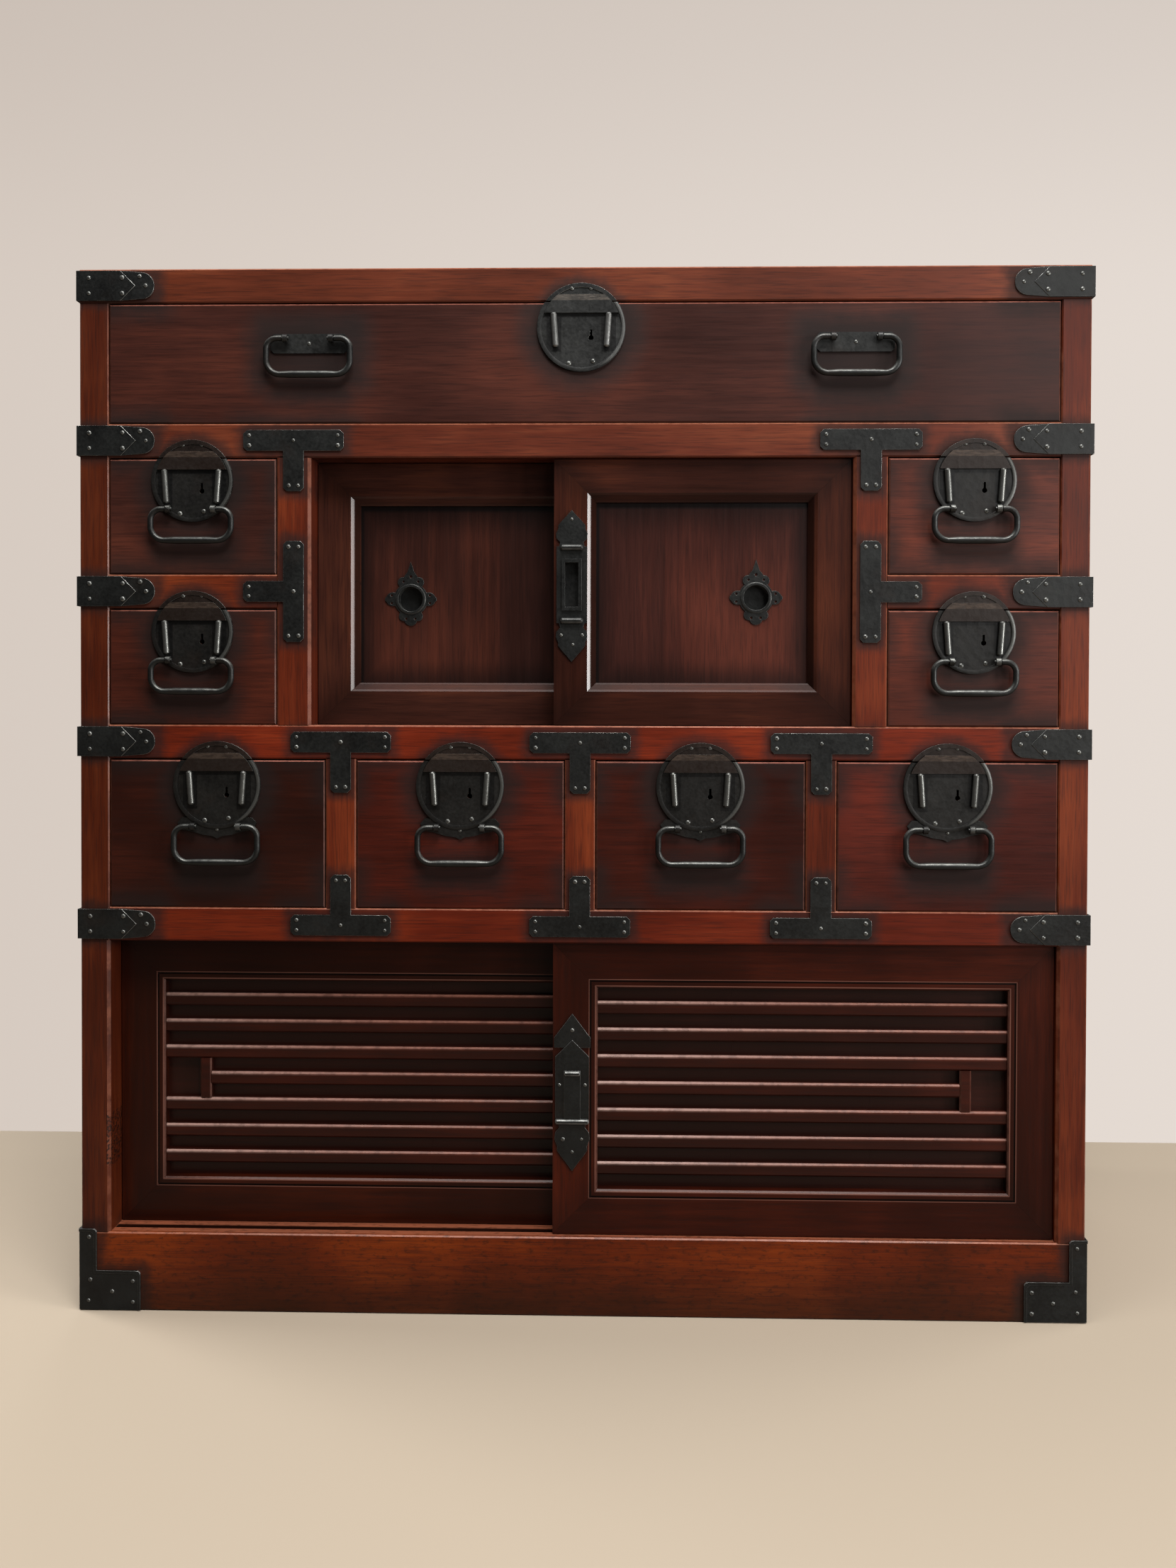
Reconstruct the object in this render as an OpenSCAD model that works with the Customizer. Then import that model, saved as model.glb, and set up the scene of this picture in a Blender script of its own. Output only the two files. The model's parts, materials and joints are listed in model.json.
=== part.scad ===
// Small tansu chest: lacquered softwood carcass, nine drawers, two pairs of sliding doors, iron fittings.
// The front faces -Y, +X is to the right and +Z is up. The origin is under the middle of the bounding box.

/* [Chest] */
// Width over the two side boards
chest_w = 860; // [710:1:1040]
// Depth of the boards, front face to back face
chest_d = 410; // [330:1:500]

/* [Carcass boards] */
// Thickness of the side boards
side_t = 25; // [18:0.5:30]
// Thickness of the top board
top_t = 29; // [24:0.5:36]
// Height of the front rails
rail_h = 29; // [24:0.5:36]
// Depth of the front rails and posts, front to back
rail_d = 54; // [48:1:72]
// Thickness of the shelf boards behind the rails
shelf_t = 12; // [9:0.5:18]
// Height of the plinth's front board
plinth_h = 68; // [50:1:90]
// Thickness of the plinth's front board
plinth_t = 26; // [22:0.5:31]
// Width of the columns beside the upper doors
column_w = 29; // [24:0.5:36]
// Width of the dividers in the row of four drawers
divider_w = 26; // [20:0.5:32]
// Thickness of the partition boards behind columns and dividers
partition_t = 13; // [9:0.5:16]
// Thickness of the back boards
back_t = 8; // [6:0.5:12]
// Number of back boards
back_boards_n = 5; // [3:1:8]
// Width that is eased off the front edges of the boards
ease = 1.2; // [0.4:0.1:2]
// Width that is eased off the upright edges beside the sliding doors
bay_ease = 2.6; // [1:0.1:3.5]

/* [Layout of the front] */
// Height of the top drawer's opening
top_row_h = 103; // [85:0.5:125]
// Height of the opening for the upper sliding doors
door_bay_h = 228.5; // [190:0.5:275]
// Height of the opening for the row of four drawers
drawer_row_h = 128; // [106:0.5:155]
// Height of the opening for the lower sliding doors
lower_bay_h = 252.5; // [210:0.5:304]
// Width of the openings for the small drawers
small_drawer_w = 145; // [120:1:174]
// Width of the two outer openings in the row of four
outer_drawer_w = 187; // [150:1:200]

/* [Drawers] */
// Thickness of the drawer fronts
front_t = 20; // [16:0.5:26]
// Thickness of the drawer sides and backs
box_t = 10; // [7:0.5:13]
// Thickness of the drawer bottoms
bottom_t = 7; // [5:0.5:9]
// How far the drawer sides stand below the top of the front
box_drop = 6; // [3:0.5:12]
// Gap at each side of a drawer
drawer_gap = 0.8; // [0.4:0.1:1.5]
// Gap over a drawer
drawer_top_gap = 1.3; // [0.6:0.1:2]
// Running gap under a drawer
drawer_run_gap = 0.3; // [0.2:0.1:0.8]
// Gap between a closed drawer and the back boards
drawer_back_gap = 6; // [3:1:20]

/* [Sliding doors] */
// Thickness of the door frames
door_t = 18; // [15:0.5:21]
// How far the right-hand doors stand back from the front
door_recess = 6.5; // [4:0.5:8.5]
// Gap between the front and the rear door
door_gap = 3; // [1:0.5:5]
// Gap between a door and the boards at its edges
door_edge_gap = 0.8; // [0.5:0.1:1.5]
// How far the two doors of a pair overlap
door_overlap = 46; // [38:1:54]
// Face width of the upper door frames
upper_frame_w = 36; // [30:0.5:42]
// Width of the slope inside the upper door frames
slope_w = 7.5; // [5:0.5:12]
// Face width of the lower door frames
lower_frame_w = 38.5; // [30:0.5:44]
// Width of the bead inside the lower door frames
bead_w = 7; // [4:0.5:9]
// Thickness of the upper door panels
panel_t = 5; // [4:0.5:6]
// Thickness of the tongues that run in the grooves
tongue_t = 8; // [6:0.5:10]
// Depth of the lower grooves
groove_low = 3.5; // [3:0.5:6]
// Depth of the upper grooves
groove_high = 7; // [6:0.5:10]
// Side play of a tongue in its groove, all round
groove_play = 0.4; // [0.3:0.1:0.8]
// Height of a slat
slat_w = 11.2; // [8:0.2:14]
// Gap wanted between slats
slat_gap = 11.4; // [8:0.2:14]
// Thickness of a slat
slat_t = 7.5; // [5:0.5:9]
// Thickness of the boards behind the slats
slat_back_t = 3.5; // [3:0.5:4]
// Width of the finger pocket beside the middle slat
pocket_w = 30; // [24:1:40]
// Width of the upright piece that closes the pocket
pocket_end_w = 10; // [7:0.5:14]

/* [Locks] */
// Radius of the lock plates on the top drawer and on the row of four
lock_r = 37.5; // [31:0.5:45]
// Radius of the lock plates on the small drawers
small_lock_r = 35; // [31:0.5:40]
// How far the top of a lock plate laps over the rail
lock_lap = 15; // [11:0.5:18]
// Thickness of the iron plates
plate_t = 1.5; // [1:0.1:2.5]
// Width of the raised rim of a lock plate
lock_rim_w = 3.5; // [2:0.5:5]
// Height of the raised rim over the plate
lock_rim_t = 0.8; // [0.4:0.1:1.2]
// How far the cross band reaches above the gap over the drawer
band_up = 5; // [3:0.5:7]
// How far the cross band reaches below the gap over the drawer
band_down = 10.5; // [8:0.5:13]
// Thickness of the cross band
band_t = 2.2; // [1.5:0.1:3]
// Radius of the two staples on a lock plate
staple_r = 2.6; // [1.8:0.1:3]
// Length of the two staples
staple_l = 29; // [20:0.5:32]
// Distance between the staples at their upper ends
staple_span = 47; // [40:0.5:50]
// Lean of each staple towards the middle, in degrees
staple_lean = 4; // [0:0.5:7]

/* [Bail handles] */
// Width of the large bails, between the centres of the rod
bail_w = 71.6; // [64:0.5:80]
// Width of the bails on the small drawers
small_bail_w = 69; // [62:0.5:76]
// Drop of the large bails, from the pivot to the centre of the rod
bail_drop = 30.5; // [26:0.5:37]
// Drop of the bails on the small drawers
small_bail_drop = 26.5; // [24:0.5:32]
// Radius of the bail's rod
rod_r = 2.5; // [2:0.1:2.8]
// Radius of a bail's grip, which is thicker than the rest of its rod
grip_r = 3; // [2.4:0.1:3.3]
// Radius of the bail's pins
pin_r = 1.6; // [1.3:0.1:1.9]
// Running clearance between a pin and its eye
pin_play = 0.08; // [0.04:0.01:0.1]
// Wall of an eye round its bore
eye_wall = 1.7; // [1.2:0.1:2]
// Width of an eye along its bore
eye_w = 4; // [3:0.5:5]
// Distance from the middle of the bail to the middle of an eye
eye_x = 19.5; // [17:0.5:21]
// Height of the pivot over the drawer's face
eye_h = 6.2; // [5.8:0.1:8]
// Radius of the bend at a bail's upper corners
bend_top = 9; // [7:0.5:10]
// Radius of the bend at a bail's lower corners
bend_low = 12; // [10:0.5:13]
// Distance of the top drawer's bails from the middle
bail_x = 232; // [180:1:270]
// Width of the top drawer's handle plates
handle_plate_w = 66; // [60:1:72]
// Height of the top drawer's handle plates
handle_plate_h = 16.5; // [14:0.5:20]

/* [Straps and plates] */
// How far a corner strap's edges keep from the edges of its rail
strap_inset = 1.75; // [1:0.25:4]
// Length of a corner strap's rectangular part
strap_l = 38; // [32:1:48]
// Radius of a corner strap's round end
strap_end_r = 11.2; // [9:0.2:12]
// Reach of a corner strap from the chest's edge
strap_reach = 67; // [60:1:80]
// Extra thickness of the strap over its round end
strap_step = 0.6; // [0.3:0.1:1]
// Length of a T-plate's bar
tee_l = 86; // [70:1:100]
// Width of a T-plate's bar and leg
tee_w = 17.5; // [13:0.5:20]
// Height of a T-plate over bar and leg
tee_h = 52; // [44:1:60]
// Height of the corner plates at the plinth
corner_h = 70; // [56:1:80]
// Width of the corner plates' upright arm
corner_arm = 15; // [11:0.5:20]
// Width of the corner plates' foot
corner_foot_w = 53; // [44:1:64]
// Height of the corner plates' foot
corner_foot_h = 34; // [26:1:42]

/* [Finger pulls and latch plates] */
// Distance of a finger pull from the frame beside it
pull_inset = 44; // [30:1:60]
// Radius inside the cup of a finger pull
cup_r = 10.8; // [9:0.1:13]
// Width of the upper latch plate
latch_w = 26; // [20:0.5:28]
// Length of the upper latch plate's straight part
latch_l = 65.5; // [53:0.5:76]
// Width of the lower latch plate
low_latch_w = 29; // [24:0.5:31]
// Length of the lower latch plate's straight part
low_latch_l = 56; // [46:1:66]

/* [Hidden] */
$fn = 48;
wood = "#5a2318";
wood_dark = "#3a1812";
wood_pale = "#7a5236";
iron = "#26292a";

iron_proud = eye_h + pin_r + pin_play + eye_wall;
front_y = (iron_proud - chest_d) / 2;
back_y = front_y + chest_d;
inner_x = chest_w / 2 - side_t;
shelf_end = chest_d - back_t;
seam = 0.05;         // hairline between boards that are glued to each other
lip = 8;             // how far shelves and rails are let into the side boards
tenon_h = 16;        // height of the rails' tenons
tenon_d0 = 14;       // depth at which the tenons start and end behind the front
tenon_d1 = 36;
fingers = 5;         // finger joints of the top board, counted over both boards
foot_h = 9;          // height of the strips that guide the drawers

// Levels of the rails' lower faces, from the floor up
rail3_z = plinth_h + lower_bay_h;
rail2_z = rail3_z + rail_h + drawer_row_h;
rail1_z = rail2_z + rail_h + door_bay_h;
top_z = rail1_z + rail_h + top_row_h;
chest_h = top_z + top_t;
little_rail_z = (rail2_z + rail1_z) / 2;
column_x = inner_x - small_drawer_w - column_w / 2;
bay_x = column_x - column_w / 2;
divider_x = inner_x - outer_drawer_w - divider_w / 2;

// Doors: place of the front and of the rear door behind the chest's front
front_door_d = door_recess;
rear_door_d = door_recess + door_t + door_gap;
tongue_d = (door_t - tongue_t) / 2;

// A drawer is [name, x0, x1, z0, z1, radius of the lock plate, kind of handle]
small_x = inner_x - small_drawer_w;
upper_z = little_rail_z + rail_h;
lower_z = rail2_z + rail_h;
row_z = rail3_z + rail_h;
half_div = divider_w / 2;
DRAWER_BOXES = [
    ["top_drawer", -inner_x, inner_x, rail1_z + rail_h, top_z, lock_r, "pair"],
    ["left_upper_drawer", -inner_x, -small_x, upper_z, rail1_z, small_lock_r, "disc"],
    ["left_lower_drawer", -inner_x, -small_x, lower_z, little_rail_z, small_lock_r, "disc"],
    ["right_upper_drawer", small_x, inner_x, upper_z, rail1_z, small_lock_r, "disc"],
    ["right_lower_drawer", small_x, inner_x, lower_z, little_rail_z, small_lock_r, "disc"],
    ["row_drawer_1", -inner_x, -divider_x - half_div, row_z, rail2_z, lock_r, "bow"],
    ["row_drawer_2", -divider_x + half_div, -half_div, row_z, rail2_z, lock_r, "bow"],
    ["row_drawer_3", half_div, divider_x - half_div, row_z, rail2_z, lock_r, "bow"],
    ["row_drawer_4", divider_x + half_div, inner_x, row_z, rail2_z, lock_r, "bow"]
];

// A door is [name, x0, x1, z0, z1, depth behind the front, upper or lower, 1 where it is the left-hand one]
DOOR_BOXES = [
    ["upper_left_door", -bay_x, door_overlap / 2, rail2_z + rail_h, rail1_z, rear_door_d, "upper", 1],
    ["upper_right_door", -door_overlap / 2, bay_x, rail2_z + rail_h, rail1_z, front_door_d, "upper", 0],
    ["lower_left_door", -inner_x, door_overlap / 2, plinth_h, rail3_z, rear_door_d, "lower", 1],
    ["lower_right_door", -door_overlap / 2, inner_x, plinth_h, rail3_z, front_door_d, "lower", 0]
];

// A bail is [name, x, z of its pivot, width, drop]
function lock_z(d) = d[4] - (d[5] - lock_lap);
function mid_x(d) = (d[1] + d[2]) / 2;
function pivot_z(d) = d[6] == "pair" ? d[4] - 32
                    : d[6] == "disc" ? lock_z(d) - d[5] + 10.3
                    : lock_z(d) - d[5] + 2;
BAILS = concat(
    [for (s = [-1, 1]) [s < 0 ? "top_drawer_left_bail" : "top_drawer_right_bail",
        s * bail_x, pivot_z(DRAWER_BOXES[0]), bail_w, bail_drop]],
    [for (i = [1:8]) let (d = DRAWER_BOXES[i], small = d[6] == "disc")
        [str(d[0], "_bail"), mid_x(d), pivot_z(d),
         small ? small_bail_w : bail_w, small ? small_bail_drop : bail_drop]]
);

CARCASS = ["side_left", "side_right", "top_board", "upper_shelf", "middle_shelf", "lower_shelf",
           "floor_board", "plinth", "partitions", "back_boards", "corner_iron"];

// ---------------------------------------------------------------- helpers
// Places a drawing on the front: its X is right, its Y is up and it grows out of the face.
module on_front(x, z, d = 0) translate([x, front_y + d, z]) rotate([90, 0, 0]) children();

// Places a drawing on the front so that it grows into the chest.
module into_front(x, z, d = 0) translate([x, front_y + d, z]) rotate([90, 0, 0]) mirror([0, 0, 1]) children();

// A plain board between two corners, with d measured back from the front face
module board(x0, x1, d0, d1, z0, z1) translate([x0, front_y + d0, z0]) cube([x1 - x0, d1 - d0, z1 - z0]);

// An outline in d and z, drawn out along X
module along_x(x0, x1) translate([x0, front_y, 0]) rotate([90, 0, 90]) linear_extrude(x1 - x0) children();

// An outline in x and d, drawn up along Z
module along_z(z0, z1) translate([0, front_y, z0]) linear_extrude(z1 - z0) children();

// An outline in x and z, drawn back along Y from d0 to d1
module along_y(d0, d1) translate([0, front_y + d1, 0]) rotate([90, 0, 0]) linear_extrude(d1 - d0) children();

// Outline of a board whose two front edges are eased; a runs along the front and d goes back
module eased(a0, a1, d0, d1, e = ease)
    polygon([[a0, d0 + e], [a0 + e, d0], [a1 - e, d0], [a1, d0 + e], [a1, d1], [a0, d1]]);

// The same outline with d first, for drawing along X
module eased_dz(z0, z1, d0, d1, e = ease)
    polygon([[d0, z0 + e], [d0 + e, z0], [d1, z0], [d1, z1], [d0 + e, z1], [d0, z1 - e]]);

// What comes off an upright front edge at x beside a door bay; s is 1 where the bay lies towards +X
module bay_edge(x, s, z0, z1) along_z(z0, z1)
    polygon([[x - s * (bay_ease + 1), -1], [x + s, bay_ease + 1], [x + s, -1]]);

module eased_panel(x0, x1, d0, d1, z0, z1) intersection() {
    along_z(z0, z1) eased(x0, x1, d0, d1);
    along_x(x0, x1) eased_dz(z0, z1, d0, d1);
}

// A round rod with tapered ends between two points of the front plane
module rod(p, q, r) {
    v = q - p;
    l = norm(v);
    tip = r / 2;
    translate([p.x, p.y, 0]) rotate([0, 0, atan2(v.y, v.x)]) rotate([0, 90, 0]) {
        cylinder(r1 = r * 0.55, r2 = r, h = tip);
        translate([0, 0, tip]) cylinder(r = r, h = l - 2 * tip);
        translate([0, 0, l - tip]) cylinder(r1 = r, r2 = r * 0.55, h = tip);
    }
}

// ---------------------------------------------------------------- carcass
module rail_tenons(x0, x1, z, reach) {
    board(x0 - reach, x0, tenon_d0, tenon_d1, z + (rail_h - tenon_h) / 2, z + (rail_h + tenon_h) / 2);
    board(x1, x1 + reach, tenon_d0, tenon_d1, z + (rail_h - tenon_h) / 2, z + (rail_h + tenon_h) / 2);
}

// The board behind a rail, let into the side boards
module shelf_board(z)
    board(-inner_x - lip, inner_x + lip, rail_d + seam, shelf_end, z + rail_h - shelf_t, z + rail_h);

// The space that a shelf takes out of the side boards
module shelf_housing(z) {
    rail_tenons(-inner_x, inner_x, z, lip);
    shelf_board(z);
}

module shelf(z) {
    along_x(-inner_x, inner_x) eased_dz(z, z + rail_h, 0, rail_d);
    shelf_housing(z);
}

// Both grooves of a pair of doors, cut up or down from a level
module door_grooves(x0, x1, z, depth, up) for (d = [front_door_d, rear_door_d])
    board(x0, x1, d + tongue_d - groove_play, d + tongue_d + tongue_t + groove_play,
          up ? z - 1 : z - depth, up ? z + depth : z + 1);

module top_fingers() for (s = [-1, 1], i = [1:2:fingers - 1])
    board(s > 0 ? inner_x : -chest_w / 2, s > 0 ? chest_w / 2 : -inner_x,
          i * chest_d / fingers, (i + 1) * chest_d / fingers, top_z, chest_h);

module left_side_board() difference() {
    union() {
        along_z(0, top_z) eased(-chest_w / 2, -inner_x, 0, chest_d);
        intersection() {
            top_fingers();
            board(-chest_w / 2, -inner_x, 0, chest_d, top_z, chest_h);
        }
    }
    for (z = [rail1_z, rail2_z, rail3_z, plinth_h - rail_h]) shelf_housing(z);
    little_housing(-1);
    // the plinth's front board passes in front
    board(-chest_w / 2 - 1, -inner_x + 1, -1, plinth_t, -1, plinth_h);
    bay_edge(-inner_x, 1, plinth_h, rail3_z);
}

module side_left() color(wood) left_side_board();
module side_right() color(wood) mirror([1, 0, 0]) left_side_board();

module top_board() color(wood) difference() {
    along_x(-chest_w / 2, chest_w / 2) eased_dz(top_z, chest_h, 0, chest_d);
    top_fingers();
}

module upper_shelf() color(wood) difference() {
    shelf(rail1_z);
    door_grooves(-bay_x, bay_x, rail1_z, groove_high, true);
}

module middle_shelf() color(wood) difference() {
    shelf(rail2_z);
    door_grooves(-bay_x, bay_x, rail2_z + rail_h, groove_low, false);
}

module lower_shelf() color(wood) difference() {
    shelf(rail3_z);
    door_grooves(-inner_x, inner_x, rail3_z, groove_high, true);
}

module floor_board() color(wood) {
    difference() {
        union() {
            board(-inner_x, inner_x, plinth_t, rail_d, plinth_h - rail_h, plinth_h);
            board(-inner_x - lip, inner_x + lip, plinth_t, tenon_d1,
                  plinth_h - (rail_h + tenon_h) / 2, plinth_h - (rail_h - tenon_h) / 2);
        }
        door_grooves(-inner_x, inner_x, plinth_h, groove_low, false);
    }
    shelf_board(plinth_h - rail_h);
}

module plinth() color(wood) {
    difference() {
        eased_panel(-chest_w / 2, chest_w / 2, 0, plinth_t, 0, plinth_h);
        door_grooves(-inner_x, inner_x, plinth_h, groove_low, false);
    }
    board(-inner_x, inner_x, shelf_end - plinth_t, shelf_end, 0, plinth_h - shelf_t);
}

// Post with a partition board behind it; the board stands on a strip that guides the drawers on both sides
module partition(x, w, z0, z1) {
    along_z(z0, z1) eased(x - w / 2, x + w / 2, 0, rail_d);
    board(x - w / 2, x + w / 2, rail_d + seam, shelf_end, z0, z0 + foot_h);
    board(x - partition_t / 2, x + partition_t / 2, rail_d + seam, shelf_end, z0 + foot_h + seam, z1);
}

// The little shelf between two small drawers: rail in front, board behind; s is -1 on the left
module little_housing(s) {
    x0 = s > 0 ? inner_x : -inner_x - lip;
    board(x0, x0 + lip, tenon_d0, tenon_d1, little_rail_z + (rail_h - tenon_h) / 2,
          little_rail_z + (rail_h + tenon_h) / 2);
    board(x0, x0 + lip, rail_d + seam, shelf_end, little_rail_z + rail_h - shelf_t, little_rail_z + rail_h);
}

module right_little_shelf() {
    x0 = column_x + column_w / 2 + seam;
    x1 = column_x + partition_t / 2 + seam;
    top = little_rail_z + rail_h;
    along_x(x0, inner_x) eased_dz(little_rail_z, top, 0, rail_d);
    board(x1, inner_x, rail_d + seam, shelf_end, top - shelf_t, top);
    board(x1, x0, rail_d + seam, shelf_end, top + seam, top + foot_h);
    little_housing(1);
}

module partitions() color(wood) {
    for (s = [-1, 1]) difference() {
        partition(s * column_x, column_w, rail2_z + rail_h, rail1_z);
        bay_edge(s * bay_x, -s, rail2_z + rail_h, rail1_z);
    }
    for (s = [0, 1]) mirror([s, 0, 0]) right_little_shelf();
    for (i = [-1:1]) partition(i * divider_x, divider_w, rail3_z + rail_h, rail2_z);
}

module back_boards() color(wood_pale) {
    gap = 0.6;
    w = (2 * inner_x - (back_boards_n - 1) * gap) / back_boards_n;
    for (i = [0:back_boards_n - 1]) {
        x = -inner_x + i * (w + gap);
        board(x, x + w, shelf_end, chest_d, 20, top_z);
    }
}

// ---------------------------------------------------------------- iron on the carcass
module strap_body(h)
    polygon([[0, -h / 2], [strap_l, -h / 2], [strap_l + h / 2, 0], [strap_l, h / 2], [0, h / 2]]);
module strap_end(h) intersection() {
    x = strap_reach - strap_end_r;
    union() {
        translate([x, 0]) circle(r = strap_end_r);
        polygon([[strap_l - 1, -h / 2], [x, -strap_end_r], [x, strap_end_r], [strap_l - 1, h / 2]]);
    }
    translate([strap_l, -h / 2]) square([strap_reach, h]);
}

// Left-hand strap on a rail from z0 to z1: one leaf on the front, one on the side, bent round the edge
module strap(z0, z1) {
    body_t = plate_t + strap_step;
    h = z1 - z0 - 2 * strap_inset;
    on_front(-chest_w / 2 - body_t, (z0 + z1) / 2) {
        linear_extrude(body_t) strap_body(h);
        linear_extrude(plate_t) strap_end(h);
    }
    translate([-chest_w / 2 - body_t, front_y - body_t, (z0 + z1) / 2]) rotate([90, 0, 90]) {
        linear_extrude(body_t) strap_body(h);
        translate([0, 0, strap_step]) linear_extrude(plate_t) strap_end(h);
    }
}

clip = 3;
module clipped(x0, x1, y0, y1) polygon([
    [x0 + clip, y0], [x1 - clip, y0], [x1, y0 + clip], [x1, y1 - clip],
    [x1 - clip, y1], [x0 + clip, y1], [x0, y1 - clip], [x0, y0 + clip]]);

// T-plate with the middle of its bar at the origin and its leg downwards
module tee() linear_extrude(plate_t) {
    clipped(-tee_l / 2, tee_l / 2, -tee_w / 2, tee_w / 2);
    clipped(-tee_w / 2, tee_w / 2, tee_w / 2 - tee_h, 0);
}

// Left-hand corner plate at the plinth, bent round the edge
corner_r = 4;
corner_rim_w = 2.4;  // raised border along the upper and inner edges
corner_rim_t = 0.5;
module round_corner(x, y) translate([x - corner_r, y - corner_r]) difference() {
    square(corner_r + 1);
    circle(r = corner_r);
}
module corner_outline() difference() {
    union() {
        square([corner_arm, corner_h]);
        square([corner_foot_w, corner_foot_h]);
    }
    round_corner(corner_arm, corner_h);
    round_corner(corner_foot_w, corner_foot_h);
}
module corner_leaf() {
    linear_extrude(plate_t) corner_outline();
    linear_extrude(plate_t + corner_rim_t) difference() {
        corner_outline();
        translate([-corner_rim_w, -corner_rim_w]) corner_outline();
    }
}
module corner_plate() {
    ground = 1;
    on_front(-chest_w / 2 - plate_t, ground) corner_leaf();
    translate([-chest_w / 2, front_y - plate_t, ground]) rotate([90, 0, 90]) mirror([0, 0, 1]) corner_leaf();
}

// The segment of a lock plate above the gap over its drawer; it stays on the rail
module lock_hood(d) intersection() {
    lock_disc(d);
    board(d[1], d[2], -10, 0, d[4], d[4] + lock_r);
}

module corner_iron() color(iron) {
    for (s = [0, 1]) mirror([s, 0, 0]) {
        for (z = [rail1_z, rail2_z, rail3_z, little_rail_z]) strap(z, z + rail_h);
        strap(top_z, chest_h);
        corner_plate();
    }
    for (s = [-1, 1]) {
        on_front(s * column_x, rail1_z + rail_h / 2) tee();
        on_front(s * column_x, little_rail_z + rail_h / 2) rotate(s > 0 ? 90 : -90) tee();
    }
    for (i = [-1:1]) {
        on_front(i * divider_x, rail2_z + rail_h / 2) tee();
        on_front(i * divider_x, rail3_z + rail_h / 2) rotate(180) tee();
    }
    for (d = DRAWER_BOXES) lock_hood(d);
}

// ---------------------------------------------------------------- drawers
function face_x0(d) = d[1] + drawer_gap;
function face_x1(d) = d[2] - drawer_gap;
function face_z0(d) = d[3] + drawer_run_gap;
function face_z1(d) = d[4] - drawer_top_gap;
drawer_end = shelf_end - drawer_back_gap;

module drawer_front(d) color(wood_dark) difference() {
    eased_panel(face_x0(d), face_x1(d), 0, front_t, face_z0(d), face_z1(d));
    for (e = eyes(d)) on_front(e.x, e.y, front_t + 1) cylinder(r = shank_r + shank_play, h = front_t + 2);
    keyhole_cut(d);
}

module drawer_box(d) color(wood_pale) {
    low = face_z0(d) + bottom_t;
    high = face_z1(d) - box_drop;
    for (x = [face_x0(d), face_x1(d) - box_t]) board(x, x + box_t, front_t, drawer_end, low, high);
    board(face_x0(d) + box_t + seam, face_x1(d) - box_t - seam, drawer_end - box_t, drawer_end, low, high);
    board(face_x0(d), face_x1(d), front_t, drawer_end, face_z0(d), low - seam);
}

// ---------------------------------------------------------------- locks and handles
shank_r = 1.6;
shank_play = 0.3;

// Points on the front where the eye pins of a drawer stand
function eyes(d) = d[6] == "pair"
    ? [for (s = [-1, 1], e = [-1, 1]) [s * bail_x + e * eye_x, pivot_z(d)]]
    : [for (e = [-1, 1]) [mid_x(d) + e * eye_x, pivot_z(d)]];

module lock_disc(d) on_front(mid_x(d), lock_z(d)) {
    cylinder(r = d[5], h = plate_t, $fn = 96);
    difference() {
        cylinder(r = d[5], h = plate_t + lock_rim_t, $fn = 96);
        translate([0, 0, -1]) cylinder(r = d[5] - lock_rim_w, h = 5, $fn = 96);
    }
}

keyhole_x = 8.3;
keyhole_z = -8.7;
module keyhole_cut(d) on_front(mid_x(d) + keyhole_x, lock_z(d) + keyhole_z, front_t + 1) {
    cylinder(r = 2.2, h = front_t + 6);
    translate([-1, 0, 0]) cube([2, 7, front_t + 6]);
}

// Raised cross band: it is fixed below the gap and stands clear of the hood above it
band_lift = 0.3;
module lock_band(d) {
    gap_z = d[4] - lock_z(d);
    on_front(mid_x(d), lock_z(d)) {
        translate([0, 0, plate_t]) linear_extrude(band_t) intersection() {
            circle(r = d[5] - lock_rim_w - 0.4, $fn = 96);
            translate([-lock_r, gap_z - band_down]) square([2 * lock_r, band_down - drawer_top_gap]);
        }
        translate([0, 0, plate_t + band_lift]) linear_extrude(band_t - band_lift) intersection() {
            circle(r = d[5] - lock_rim_w - 0.4, $fn = 96);
            translate([-lock_r, gap_z - band_down]) square([2 * lock_r, band_down + band_up]);
        }
    }
}

module lock_staples(d) {
    top = d[4] - lock_z(d) - band_down;
    low_x = staple_span / 2 - staple_l * tan(staple_lean);
    for (s = [-1, 1]) on_front(mid_x(d), lock_z(d)) translate([0, 0, plate_t + staple_r * 0.8])
        rod([s * staple_span / 2, top], [s * low_x, top - staple_l], staple_r);
}

// Eye pin: a ring, a shank through plate and front board, and two legs bent flat against the board's back
module eye_pin(e) {
    difference() {
        union() {
            translate([e.x - eye_w / 2, front_y - eye_h, e.y]) rotate([0, 90, 0])
                cylinder(r = pin_r + pin_play + eye_wall, h = eye_w);
            on_front(e.x, e.y, front_t + 1) cylinder(r = shank_r, h = front_t + 1 + eye_h);
        }
        translate([e.x - eye_w, front_y - eye_h, e.y]) rotate([0, 90, 0])
            cylinder(r = pin_r + pin_play, h = 2 * eye_w);
    }
    board(e.x - 1.2, e.x + 1.2, front_t, front_t + 1.2, e.y - 9, e.y + 9);
}

// The holes that plates have round the shanks
module shank_holes(d) for (e = eyes(d)) on_front(e.x, e.y, 1) cylinder(r = shank_r + seam, h = plate_t + 3);

// Bow-shaped back plate that carries the eyes under the lock plate
module bow_plate(d) on_front(mid_x(d), pivot_z(d)) linear_extrude(plate_t) {
    for (s = [0, 1]) mirror([s, 0, 0]) polygon([
        [0, 7.5], [30, 7.5], [34, 3], [31, -3], [22, -4.5], [12, -7.5], [4, -8.5], [0, -10.5]]);
}

module handle_plate(x, z) on_front(x, z) linear_extrude(plate_t)
    clipped(-handle_plate_w / 2, handle_plate_w / 2, -handle_plate_h / 2, handle_plate_h / 2);

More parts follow.
